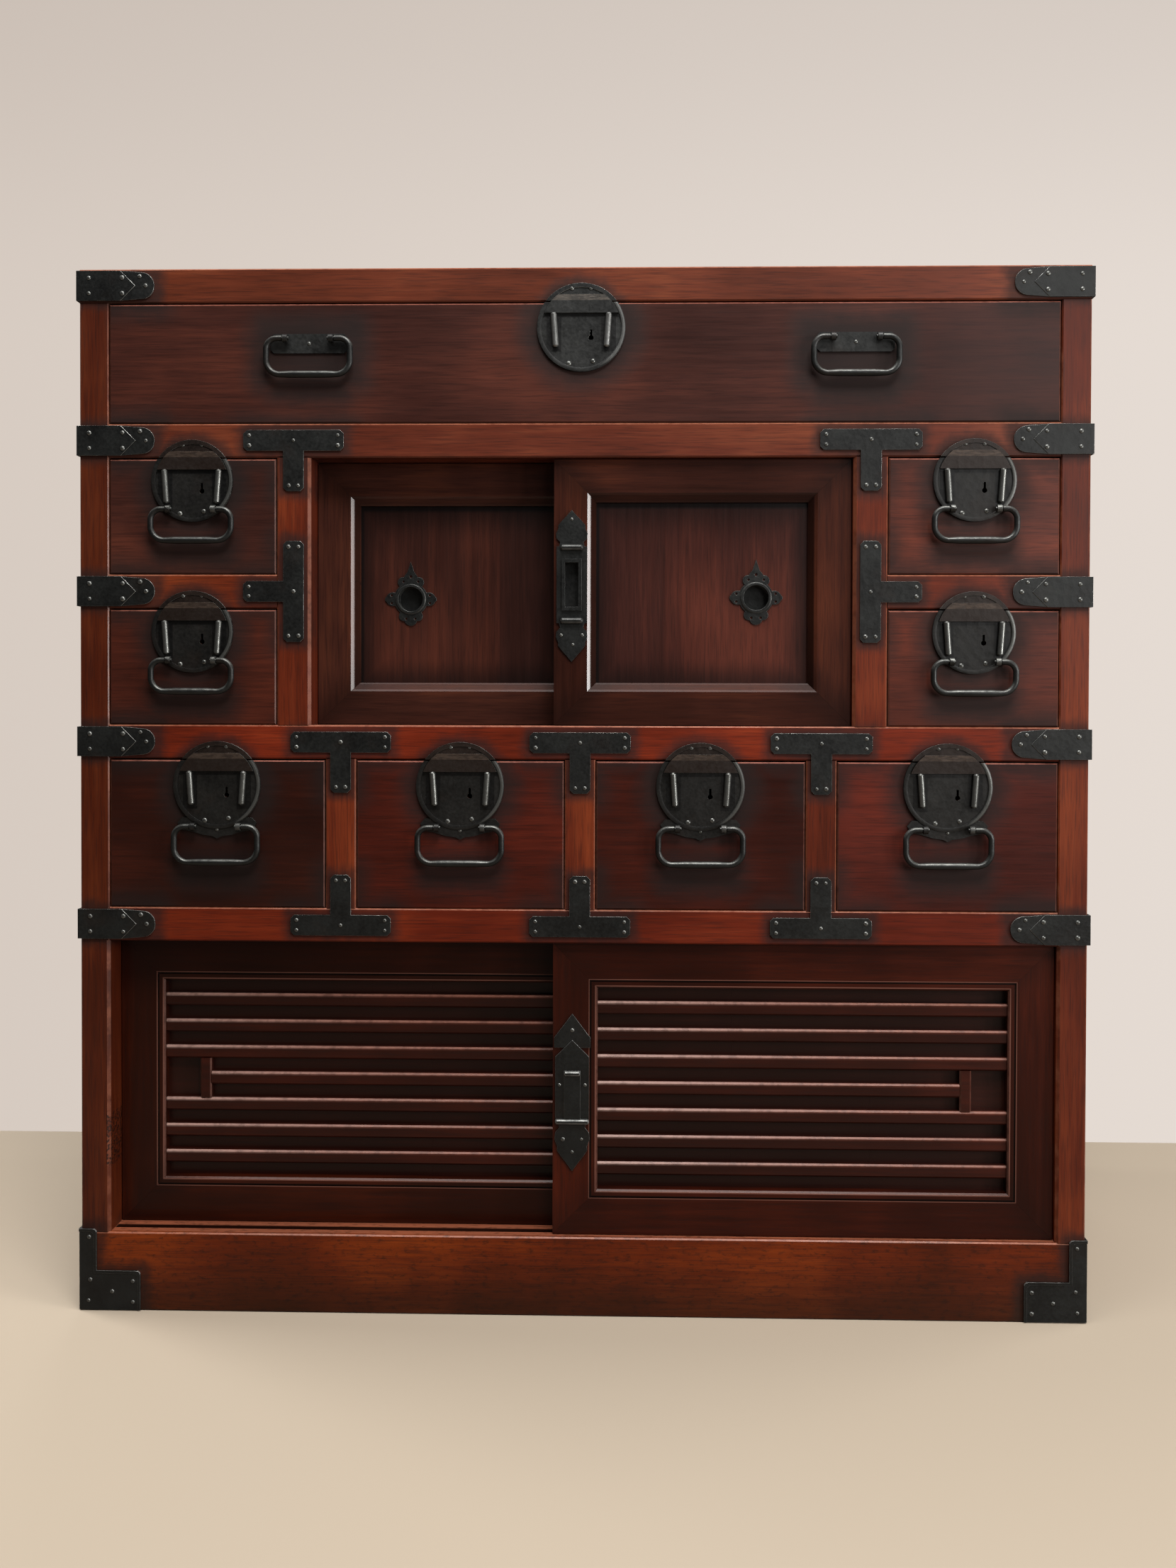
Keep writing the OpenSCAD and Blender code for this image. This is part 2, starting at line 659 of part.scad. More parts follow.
// Lock case on the inside of the front, with its bolt drawn back
module lock_case(d) {
    x = mid_x(d);
    top = face_z1(d) - 3;
    difference() {
        board(x - 26, x + 26, front_t, front_t + 8, lock_z(d) - 13, top);
        board(x - 24.6, x + 24.6, front_t - 1, front_t + 6.6, lock_z(d) - 11.6, top - 1.4);
        board(x - 8.3, x + 8.3, front_t + 1.7, front_t + 5.3, top - 3, top + 1);
    }
    board(x - 8, x + 8, front_t + 2, front_t + 5, top - 14, top + 1.5);
}

module lock_plates(d) intersection() {
    union() {
        lock_disc(d);
        if (d[6] == "bow") bow_plate(d);
        if (d[6] == "pair") for (s = [-1, 1]) handle_plate(s * bail_x, pivot_z(d) - 3.4);
    }
    board(d[1], d[2], -10, 0, d[3], face_z1(d));
}

module drawer_lock(d) color(iron) {
    difference() {
        union() {
            lock_plates(d);
            lock_band(d);
            lock_staples(d);
        }
        keyhole_cut(d);
        shank_holes(d);
    }
    for (e = eyes(d)) eye_pin(e);
    lock_case(d);
}

// A bail hangs in the plane through its pins: pins, upper bends, sides, lower bends and grip
module bail_half(b) {
    w = b[3] / 2;
    drop = b[4];
    pin_end = eye_x + eye_w / 2 + 0.8;
    rotate([0, 90, 0]) translate([0, 0, eye_x - eye_w / 2 - 1.2]) cylinder(r = pin_r, h = eye_w + 2.2);
    translate([pin_end, 0, 0]) rotate([0, 90, 0]) cylinder(r = rod_r, h = w - bend_top - pin_end);
    translate([w - bend_top, 0, -bend_top]) rotate([90, 0, 0]) rotate_extrude(angle = 90)
        translate([bend_top, 0]) circle(r = rod_r);
    translate([w, 0, bend_low - drop]) cylinder(r = rod_r, h = drop - bend_top - bend_low);
    translate([w - bend_low, 0, bend_low - drop]) rotate([90, 90, 0]) rotate_extrude(angle = 90)
        translate([bend_low, 0]) circle(r = rod_r);
}

grip_taper = 9;      // length over which the rod grows to the grip's thickness
module bail(b) color(iron) translate([b[1], front_y - eye_h, b[2]]) {
    bail_half(b);
    mirror([1, 0, 0]) bail_half(b);
    grip = b[3] / 2 - bend_low;
    for (s = [0, 1]) mirror([s, 0, 0]) translate([grip - grip_taper, 0, -b[4]]) rotate([0, 90, 0])
        cylinder(r1 = grip_r, r2 = rod_r, h = grip_taper);
    translate([grip_taper - grip, 0, -b[4]]) rotate([0, 90, 0]) cylinder(r = grip_r, h = 2 * (grip - grip_taper));
}

// ---------------------------------------------------------------- sliding doors
slope_d = 7;         // how deep the upper frames' slope falls
panel_d = 8;         // depth of the panel's face behind the frame's face
housing = 5;         // depth of the panel groove in the frame
tongue_lift = 0.5;   // running gap under the lower tongue
slat_d = 3;          // depth of the slats' face behind the frame's face
slat_ease = 1.4;     // width that is eased off the slats' edges

function frame_w(d) = d[6] == "upper" ? upper_frame_w : lower_frame_w;
function door_x0(d) = d[1] + (d[7] == 1 ? door_edge_gap : 0);
function door_x1(d) = d[2] - (d[7] == 1 ? 0 : door_edge_gap);
function door_z0(d) = d[3] + door_edge_gap;
function door_z1(d) = d[4] - door_edge_gap;
function groove_d0(d) = d[6] == "upper" ? panel_d : slat_d + slat_t;
function groove_w(d) = d[6] == "upper" ? panel_t : slat_back_t;

// One mitred member of a frame, lying along X with its outer edge on the X axis and its face at z = 0
module member(l, d) {
    w = frame_w(d);
    difference() {
        linear_extrude(door_t) polygon([[seam, 0], [l - seam, 0], [l - w - seam, w], [w + seam, w]]);
        translate([0, w - housing, groove_d0(d)]) cube([l, housing + 1, groove_w(d)]);
        if (d[6] == "upper")
            rotate([90, 0, 90]) linear_extrude(l) polygon([[w - slope_w, 0], [w - slope_w, -1], [w + 1, -1],
                                                          [w + 1, slope_d], [w, slope_d], [w, slope_d - 2]]);
        else
            rotate([90, 0, 90]) linear_extrude(l) {
                translate([w - bead_w, -1]) square([1.6, 2.4]);
                polygon([[w - 1.5, -1], [w - 1.5, 0], [w, 1.5], [w + 1, 1.5], [w + 1, -1]]);
            }
    }
}

module tongue(l, z0, z1) translate([1, z0, tongue_d]) cube([l - 2, z1 - z0, tongue_t]);

module door_frame(d) color(wood) {
    l = door_x1(d) - door_x0(d);
    h = door_z1(d) - door_z0(d);
    difference() {
        into_front(door_x0(d), door_z0(d), d[5]) {
            member(l, d);
            tongue(l, tongue_lift - groove_low - door_edge_gap, 0);
            translate([0, h, 0]) mirror([0, 1, 0]) member(l, d);
            // short enough that the door can be lifted out of its lower groove
            tongue(l, h, h + door_edge_gap + groove_high - groove_low);
            mirror([1, -1, 0]) member(h, d);
            translate([l, 0, 0]) mirror([1, 0, 0]) mirror([1, -1, 0]) member(h, d);
        }
        if (d[0] == "upper_right_door") latch_pocket(latch_skin + cup_play, 20);
    }
}

// Inside edges of a door's frame
function open_x0(d) = door_x0(d) + frame_w(d);
function open_x1(d) = door_x1(d) - frame_w(d);
function open_z0(d) = door_z0(d) + frame_w(d);
function open_z1(d) = door_z1(d) - frame_w(d);

panel_boards = 3;
panel_play = 0.5;    // room that a panel has in its groove

// Upright boards that fill a frame, from depth d0 to d1 behind the door's face
module panel(d, d0, d1) {
    x0 = open_x0(d) - housing + panel_play;
    w = (open_x1(d) - open_x0(d) + 2 * (housing - panel_play)) / panel_boards;
    for (i = [0:panel_boards - 1])
        board(x0 + i * w, x0 + (i + 1) * w - seam, d[5] + d0, d[5] + d1,
              open_z0(d) - housing + panel_play, open_z1(d) + housing - panel_play);
}

module upper_infill(d) color(wood_dark) difference() {
    panel(d, panel_d, panel_d + panel_t);
    on_front(pull_place(d).x, pull_place(d).y, d[5] + panel_d + panel_t + 1)
        cylinder(r = cup_r + cup_wall + cup_play, h = panel_t + 2);
}

slats_n = round((lower_bay_h - 2 * door_edge_gap - 2 * lower_frame_w - slat_gap) / (slat_w + slat_gap));
pocket_row = floor(slats_n / 2);

// Slats over a panel; one slat is cut short beside the outer stile and leaves a finger pocket
module lower_infill(d) color(wood_dark) {
    left = d[7] == 1;
    d0 = d[5] + slat_d;
    d1 = d0 + slat_t - seam;
    gap = (open_z1(d) - open_z0(d) - slats_n * slat_w) / (slats_n + 1);
    for (i = [0:slats_n - 1]) {
        z = open_z0(d) + gap + i * (slat_w + gap);
        cut = i == pocket_row ? pocket_w + pocket_end_w + seam : 0;
        along_x(open_x0(d) + (left ? cut : 0), open_x1(d) - (left ? 0 : cut))
            eased_dz(z, z + slat_w, d0, d1, slat_ease);
    }
    z = open_z0(d) + gap + pocket_row * (slat_w + gap);
    x = left ? open_x0(d) + pocket_w : open_x1(d) - pocket_w - pocket_end_w;
    along_z(z - gap + seam, z + slat_w + gap - seam) eased(x, x + pocket_end_w, d0, d1, slat_ease);
    panel(d, slat_d + slat_t, slat_d + slat_t + slat_back_t);
}

module infill(d) {
    if (d[6] == "upper") upper_infill(d);
    if (d[6] == "lower") lower_infill(d);
}

// ---------------------------------------------------------------- finger pulls and latch plates
cup_wall = 1.2;
cup_play = 0.1;      // gap between a cup and the hole in its panel
cup_rim = 2.4;       // width of the raised rim round a cup
cup_proud = 2.6;     // height of that rim over the panel
cup_depth = door_t - panel_d - 1.5;      // how far a cup goes back into its panel
pull_plate_t = 1.2;
function pull_place(d) =
    [d[7] == 1 ? open_x0(d) + pull_inset : open_x1(d) - pull_inset, (d[3] + d[4]) / 2 - 4];

// Plate of a finger pull: a lobe on each side, a wider one below and two under a pointed finial
module pull_outline() difference() {
    union() {
        circle(r = cup_r + 4);
        for (s = [-1, 1]) {
            translate([s * (cup_r + 5), 0]) circle(r = 6);
            translate([s * (cup_r + 9.5), 0]) circle(r = 2.5);
            translate([s * 7, cup_r + 4]) circle(r = 4.5);
            translate([s * 6, -cup_r - 4]) circle(r = 4.5);
        }
        translate([0, -cup_r - 7]) circle(r = 5.5);
        polygon([[-9, cup_r], [9, cup_r], [6, cup_r + 9], [3, cup_r + 13], [0, cup_r + 22],
                 [-3, cup_r + 13], [-6, cup_r + 9]]);
    }
    for (s = [-1, 1]) {
        for (y = [-3.4, 3.4]) translate([s * (cup_r + 6), y]) circle(r = 1.1, $fn = 16);
        translate([s * 6.5, cup_r + 4.6]) circle(r = 1.1, $fn = 16);
        translate([s * 4, -cup_r - 6.4]) circle(r = 1.1, $fn = 16);
    }
    translate([0, cup_r + 9]) circle(r = 1.3, $fn = 16);
}

module finger_pull(d) color(iron) on_front(pull_place(d).x, pull_place(d).y, d[5] + panel_d) difference() {
    union() {
        linear_extrude(pull_plate_t) pull_outline();
        translate([0, 0, -cup_depth]) cylinder(r = cup_r + cup_wall, h = cup_depth + 1);
        cylinder(r = cup_r + cup_rim, h = cup_proud - 0.5);
        cylinder(r = cup_r + cup_rim - 0.5, h = cup_proud);
    }
    translate([0, 0, 1.2 - cup_depth]) cylinder(r = cup_r, h = 20);
}

// Cusped, pointed end of a latch plate, standing on the X axis: shares of half its width and of its height
cusps = [[0.84, 0], [0.76, 0.12], [1, 0.22], [1.04, 0.36], [0.88, 0.5], [0.9, 0.58], [0.62, 0.72], [0.34, 0.84]];
module cusped_end(w, h) polygon(concat(
    [for (c = cusps) [c[0] * w / 2, c[1] * h]], [[0, h]],
    [for (i = [len(cusps) - 1:-1:0]) [-cusps[i][0] * w / 2, cusps[i][1] * h]]));

// The upper latch plate has a recess that goes on into the stile: width, height, depth
latch_cup = [11.5, 38, 5];
latch_skin = 1;      // thickness of the recess's iron lining
latch_side = 1;      // how far the latch plates stand right of the middle of their stiles
latch_x = door_x0(DOOR_BOXES[1]) + (upper_frame_w - slope_w) / 2 + latch_side;
latch_z = (DOOR_BOXES[1][3] + DOOR_BOXES[1][4]) / 2 + 6.3;
module latch_pocket(grow, front) on_front(latch_x, latch_z, front_door_d)
    translate([-latch_cup.x / 2 - grow, -latch_cup.y / 2 - grow, -latch_cup.z - grow])
        cube([latch_cup.x + 2 * grow, latch_cup.y + 2 * grow, latch_cup.z + grow + front]);

latch_bar_r = 2.6;   // radius of the upper plate's raised bars
module upper_latch_plate() color(iron) difference() {
    union() {
        on_front(latch_x, latch_z, front_door_d) {
            linear_extrude(plate_t) {
                translate([-latch_w / 2, -latch_l / 2]) square([latch_w, latch_l]);
                translate([0, latch_l / 2]) cusped_end(latch_w, 31);
                mirror([0, 1, 0]) translate([0, latch_l / 2]) cusped_end(latch_w, 33);
            }
            translate([-8.5, -22, 0]) cube([17, 44, plate_t + 2]);
            for (y = [2 - latch_l / 2, latch_l / 2 - 1]) translate([0, 0, plate_t + 1.2])
                rod([-9.5, y], [9.5, y], latch_bar_r);
        }
        latch_pocket(latch_skin, plate_t);
    }
    latch_pocket(0, 20);
}

// Lower latch plate: a gabled plate on a broader gable, a box with a bar over it, and a cusped end
gable = 20.5;
module lower_latch_plate() color(iron) {
    d = DOOR_BOXES[3];
    x = door_x0(d) + (lower_frame_w - bead_w) / 2 + latch_side;
    z = (d[3] + d[4]) / 2 - 2.2;
    w = low_latch_w / 2;
    low = 30 - low_latch_l;
    on_front(x, z, d[5]) {
        linear_extrude(plate_t) {
            polygon([[-w - 1, 38], [w + 1, 38], [w + 1, 46.5], [0, 46.5 + gable], [-w - 1, 46.5]]);
            mirror([0, 1, 0]) translate([0, -low]) cusped_end(low_latch_w, 42.5);
        }
        linear_extrude(plate_t + 0.8) polygon([[-w, low], [w, low], [w, 30], [0, 30 + w], [-w, 30]]);
        translate([-7, low + 3, 0]) cube([14, 41, plate_t + 2.2]);
        translate([0, 0, plate_t + 1.8]) rod([-7, 16], [7, 16], 2);
        translate([0, 0, plate_t + 1.5]) rod([-w, low + 0.5], [w, low + 0.5], 2.3);
    }
}

side_left();
side_right();
top_board();
upper_shelf();
middle_shelf();
lower_shelf();
floor_board();
plinth();
partitions();
back_boards();
corner_iron();
for (d = DRAWER_BOXES) {
    drawer_front(d);
    drawer_box(d);
    drawer_lock(d);
}
for (b = BAILS) bail(b);
for (d = DOOR_BOXES) {
    door_frame(d);
    infill(d);
}
finger_pull(DOOR_BOXES[0]);  // upper_left_finger_pull
finger_pull(DOOR_BOXES[1]);  // upper_right_finger_pull
upper_latch_plate();
lower_latch_plate();
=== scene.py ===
import json
import math

import bmesh
import bpy
from mathutils import Matrix, Vector


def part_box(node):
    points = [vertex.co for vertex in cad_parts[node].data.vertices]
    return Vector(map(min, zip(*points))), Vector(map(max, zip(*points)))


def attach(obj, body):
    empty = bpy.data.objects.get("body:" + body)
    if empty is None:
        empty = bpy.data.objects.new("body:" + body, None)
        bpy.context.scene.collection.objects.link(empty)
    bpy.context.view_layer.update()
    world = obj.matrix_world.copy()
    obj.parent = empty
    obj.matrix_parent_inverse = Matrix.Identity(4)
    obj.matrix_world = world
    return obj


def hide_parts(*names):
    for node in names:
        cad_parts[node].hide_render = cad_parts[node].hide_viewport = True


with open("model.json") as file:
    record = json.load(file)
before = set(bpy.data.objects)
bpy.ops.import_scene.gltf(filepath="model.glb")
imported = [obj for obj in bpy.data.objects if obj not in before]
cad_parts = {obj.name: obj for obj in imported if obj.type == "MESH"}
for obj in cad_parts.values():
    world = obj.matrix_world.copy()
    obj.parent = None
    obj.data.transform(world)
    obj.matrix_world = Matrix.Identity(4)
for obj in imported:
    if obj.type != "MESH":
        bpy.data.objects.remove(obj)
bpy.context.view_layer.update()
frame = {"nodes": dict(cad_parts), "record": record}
nodes = frame["nodes"]
print("chest loaded:", len(nodes), "pieces")

# sizes in the finishes are in metres, as the frame's are; the plans of the front are in millimetres
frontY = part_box("plinth")[0].y              # the face of the front boards
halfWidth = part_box("top_board")[1].x
edgeX = halfWidth * 1000                    # the chest's right edge, in millimetres
bodyOf = {node: body for body, members in frame["record"]["behaviour"]["bodies"].items() for node in members}
carcass = bodyOf["corner_iron"]
drawers = ["top_drawer", "left_upper_drawer", "left_lower_drawer", "right_upper_drawer", "right_lower_drawer",
           "row_drawer_1", "row_drawer_2", "row_drawer_3", "row_drawer_4"]
doors = ["upper_left_door", "upper_right_door", "lower_left_door", "lower_right_door"]


def middleX(node):
    # the middle of a piece across the front, in millimetres
    low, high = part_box(node)
    return (low.x + high.x) * 500


def setOut(name, data):
    # a new object in the scene
    piece = bpy.data.objects.new(name, data)
    bpy.context.scene.collection.objects.link(piece)
    return piece


def hue(text, gain=(1.0, 1.0, 1.0)):
    # a colour as it is written on a paint card, made linear, and deepened or lightened by a gain
    out = []
    for i, much in zip((1, 3, 5), gain):
        c = int(text[i:i + 2], 16) / 255
        out.append(much * (c / 12.92 if c <= 0.04045 else ((c + 0.055) / 1.055) ** 2.4))
    return (*out, 1.0)


# a small kit for node trees

def addNode(tree, kind, settings=None, sockets=None):
    # a node with its settings, and then a value or a link for each of its sockets
    node = tree.nodes.new(kind)
    for key, value in (settings or {}).items():
        if key == "stops":
            ramp = node.color_ramp.elements
            ramp[0].position, ramp[0].color = value[0]
            ramp[1].position, ramp[1].color = value[-1]
            for at, colour in value[1:-1]:
                ramp.new(at).color = colour
        else:
            setattr(node, key, value)
    for key, value in (sockets or {}).items():
        value = value.out if isinstance(value, Val) else value
        if isinstance(value, bpy.types.NodeSocket):
            tree.links.new(value, node.inputs[key])
        elif value is not None:
            node.inputs[key].default_value = value
    return node


class Val:
    # a number that changes over a surface; arithmetic on it adds Math nodes
    def __init__(self, finish, out):
        self.finish, self.out = finish, out

    def maths(self, kind, *terms):
        node = self.finish.add("ShaderNodeMath", {"operation": kind}, dict(enumerate(terms)))
        return Val(self.finish, node.outputs[0])

    def __add__(self, other):
        return self.maths("ADD", self, other)

    def __radd__(self, other):
        return self.maths("ADD", other, self)

    def __sub__(self, other):
        return self.maths("SUBTRACT", self, other)

    def __rsub__(self, other):
        return self.maths("SUBTRACT", other, self)

    def __mul__(self, other):
        return self.maths("MULTIPLY", self, other)

    def __rmul__(self, other):
        return self.maths("MULTIPLY", other, self)

    def __abs__(self):
        return self.maths("ABSOLUTE", self)

    def root(self):
        return self.maths("SQRT", self)

    def whole(self):
        return self.maths("FLOOR", self)

    def part(self):
        # what is left over above a whole number
        return self.maths("FRACT", self)

    def sine(self):
        return self.maths("SINE", self)

    def least(self, other):
        return self.maths("MINIMUM", self, other)

    def most(self, other):
        return self.maths("MAXIMUM", self, other)

    def over(self, other):
        # 1 where it is greater than the other
        return self.maths("GREATER_THAN", self, other)

    def below(self, other):
        return self.maths("LESS_THAN", self, other)

    def step(self, low, high):
        # 0 below low and 1 above high, smooth in between
        sockets = {0: self, 1: low, 2: high}
        node = self.finish.add("ShaderNodeMapRange", {"interpolation_type": "SMOOTHSTEP"}, sockets)
        return Val(self.finish, node.outputs[0])


class Finish:
    # a material and what its shader tree is made with
    def __init__(self, name):
        self.material = bpy.data.materials.new(name)
        self.material.use_nodes = True
        self.tree = self.material.node_tree
        self.tree.nodes.clear()

    def add(self, kind, settings=None, sockets=None):
        return addNode(self.tree, kind, settings, sockets)

    def split(self, vector):
        parts = self.add("ShaderNodeSeparateXYZ", None, {0: vector})
        return [Val(self, out) for out in parts.outputs]

    def place(self):
        return self.split(self.add("ShaderNodeTexCoord").outputs["Object"])

    def facing(self):
        return self.split(self.add("ShaderNodeNewGeometry").outputs["True Normal"])

    def point(self, x, y, z):
        return self.add("ShaderNodeCombineXYZ", None, {0: x, 1: y, 2: z}).outputs[0]

    def noise(self, vector, scale, detail=2.0, rough=0.5, bend=0.0):
        sockets = {"Vector": vector, "Scale": scale, "Detail": detail, "Roughness": rough, "Distortion": bend}
        return Val(self, self.add("ShaderNodeTexNoise", None, sockets).outputs[0])

    def cells(self, vector, scale):
        sockets = {"Vector": vector, "Scale": scale}
        return Val(self, self.add("ShaderNodeTexVoronoi", {"feature": "F1"}, sockets).outputs[0])

    def pick(self, share, first, second):
        # a vector between two
        sockets = {0: share, 4: first, 5: second}
        return self.add("ShaderNodeMix", {"data_type": "VECTOR"}, sockets).outputs[1]

    def tint(self, share, first, second):
        # a colour between two
        sockets = {0: share, 6: first, 7: second}
        return self.add("ShaderNodeMix", {"data_type": "RGBA", "blend_type": "MIX"}, sockets).outputs[2]

    def stops(self, value, *stops):
        return self.add("ShaderNodeValToRGB", {"stops": stops}, {0: value}).outputs[0]

    def bump(self, height, strength, distance):
        sockets = {"Strength": strength, "Distance": distance, "Height": height}
        return self.add("ShaderNodeBump", None, sockets).outputs[0]

    def close(self, **sockets):
        names = {"colour": "Base Color", "rough": "Roughness", "metal": "Metallic", "coat": "Coat Weight",
                 "coatRough": "Coat Roughness", "shine": "Specular IOR Level", "normal": "Normal"}
        named = {names[key]: value for key, value in sockets.items()}
        body = self.add("ShaderNodeBsdfPrincipled", None, named)
        self.add("ShaderNodeOutputMaterial", None, {0: body.outputs[0]})
        return self.material


# where the iron lies on the front: the wood round it is darkened, sooty and with painted shade, with a
# painted shadow under each grip; its nails are set out from it

ironPlan = {
    "lockZ": {"top": 844.5, "upper": 715.0, "lower": 586.25, "row": 455.0},
    "lockR": 37.5, "smallLockR": 35.0,
    "smallX": 332.5, "rowX": (102.5, 311.5),            # the small drawers' and the row's locks
    "bailX": 232.0, "topPivotZ": 835.0,                 # the wide drawer's bails
    "backPlate": (12, 38, 20),                          # below the pivots, half width and height
    "railZ": {"upper": 749.5, "little": 620.75, "middle": 492.0, "lower": 335.0, "top": 881.5},
    "columnX": 245.5, "columnHalf": 14.6, "dividerX": 205.0,
    "teeHalf": 43.0, "teeHalfW": 8.75, "teeH": 52.0,
    "strapReach": 67.0, "strapHalf": 12.75,
    "footPlate": ((422, 36, 8, 36), (403, 18, 27, 18)),     # an upright and a level bar
    "gripHalf": 3, "gripShade": (7.5, 26, 4.5),         # a grip's painted shadow: below it, half width and height
}


def tees():
    # the middle of each T-plate's bar, and where its leg points: right and up
    x, z = ironPlan["columnX"], ironPlan["railZ"]
    places = [(s * x, z["upper"], (0, -1)) for s in (-1, 1)]
    places += [(s * x, z["little"], (s, 0)) for s in (-1, 1)]
    for rail, up in (("middle", -1), ("lower", 1)):
        places += [(s * ironPlan["dividerX"], z[rail], (0, up)) for s in (-1, 0, 1)]
    return places


def ironShapes():
    # (kind, x, z, half width, half height), on the right-hand half; the left-hand half mirrors it
    p = ironPlan
    shapes = [("disc", 0, p["lockZ"]["top"], p["lockR"], 0)]
    shapes += [("disc", p["smallX"], p["lockZ"][row], p["smallLockR"], 0) for row in ("upper", "lower")]
    shapes += [("disc", x, p["lockZ"]["row"], p["lockR"], 0) for x in p["rowX"]]
    drop, halfW, halfH = p["backPlate"]
    shapes.append(("bar", p["bailX"], p["topPivotZ"] - drop, halfW, halfH))
    leg = (p["teeH"] - 2 * p["teeHalfW"]) / 2
    reach = p["teeHalfW"] + leg
    for x, z, (right, up) in tees():
        if x >= 0:
            turn = 1 if up else -1          # a leg that lies level swaps widths and heights
            shapes.append(("bar", x, z, *(p["teeHalf"], p["teeHalfW"])[::turn]))
            shapes.append(("bar", x + right * reach, z + up * reach, *(p["teeHalfW"], leg)[::turn]))
    half = p["strapReach"] / 2
    shapes += [("bar", edgeX - half, z, half, p["strapHalf"]) for z in p["railZ"].values()]
    shapes += [("bar", *bar) for bar in p["footPlate"]]
    drop, halfW, halfH = p["gripShade"]
    for node in nodes:
        if node.endswith("_bail") and middleX(node) > 0:
            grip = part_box(node)[0].z * 1000 + p["gripHalf"]
            shapes.append(("bar", middleX(node), grip - drop, halfW, halfH))
    return shapes


def ironAway(x, z, box, reach):
    # how far the wood lies from iron, or None where there is none within reach of the box
    low, high = box
    spans = ((low.x, high.x), (-high.x, -low.x))
    across = abs(x)
    nearest = None
    for kind, *sizes in ironShapes():
        cx, cz, halfW, halfH = (size / 1000 for size in sizes)
        tall = halfW if kind == "disc" else halfH
        if not any(a - reach < cx + halfW and b + reach > cx - halfW for a, b in spans):
            continue
        if low.z - reach > cz + tall or high.z + reach < cz - tall:
            continue
        dx, dz = across - cx, z - cz
        if kind == "disc":
            away = (dx * dx + dz * dz).root() - halfW
        else:
            dx, dz = (abs(dx) - halfW).most(0.0), (abs(dz) - halfH).most(0.0)
            away = (dx * dx + dz * dz).root()
        nearest = away if nearest is None else nearest.least(away)
    return nearest


# wood

woodPlan = {
    "stretch": 0.05,                                    # how much longer the figure is along the grain
    "bands": 26.0, "streaks": 210.0, "fibres": 780.0, "patches": 5.5,      # how fine each part of it is
    "rub": 140.0, "sootWaver": 70.0, "speckle": 260.0, "chip": 420.0,       # and of wear, dirt and painted shade
    "edge": (0.12, 0.24),                               # how slanted a face is that counts as an edge
    "nextMember": 3.1,                                  # where in the figure a post is cut, beside a rail
    "nextBoard": (1.7, 0.37),                           # and a board, beside the one before
    "pore": (0.012, 0.004, 0.003, 1.0),
    "bump": 0.16, "bumpDepth": 0.0004,
    "innerWood": "#7d5334", "innerDeep": "#4e2f1d",     # where it never had lacquer
    "sootSearch": 0.03, "sootEnd": (0.06, 0.085),       # round the iron, and behind the front
    "mitreReach": 0.032,
}
# colours that darken the wood: dirt, and painted shade round the iron, in the grooves and the bead, along the
# panels, behind the slats and on the slopes; the foot's colour darkens it towards the floor; chips, specks
# and mitre joints are the wood's own
dirtAndShade = {"soot": "#120a08", "groove": "#0d0503", "foot": "#1c1006", "speckle": "#1c0d05", "bead": "#0a0402",
        "panelEdge": "#0e0504", "panelLine": "#060202", "chip": "#1a0c07", "mitre": "#120705",
        "behind": "#1b0a06", "slope": "#1a0a06", "ledge": "#1c0b07"}
# what the doors' parts hide in grooves: the frames' tongues below and above, and the panels' edges
hidden = {"lowTongue": 0.0038, "highTongue": 0.0043, "panel": 0.0055}
# round a slatted door's opening: from, to, strength, and whether it is a lip with wear and a painted
# highlight, or the groove in painted shade
beadLines = ((-0.0008, 0.0, 0.5, "worn"), (0.0, 0.0017, 0.8, "dark"), (0.0046, 0.0057, 0.6, "worn"))
# the line along each slat, with wear and a painted highlight, its colours, and half the size of the closing
# piece that it stops at
slatPlan = {"line": (0.0014, 0.0032), "right": "#a05a48", "left": "#b59b92", "closingHalf": (0.0049, 0.015)}
# the dark lines under a panel's upper edge and beside its left one
panelPlan = {"headLine": (0.002, 0.0055), "leftLine": (0.0008, 0.0025)}
# the slopes round a panel: how slanted they are, and where their crest and their polished lines lie, back
# from the frame's face
slopePlan = {"slant": (0.06, 0.12), "crest": (0.0013, 0.0022), "nearLine": 0.0011, "farLine": 0.0042,
             "lineCoat": 0.22}


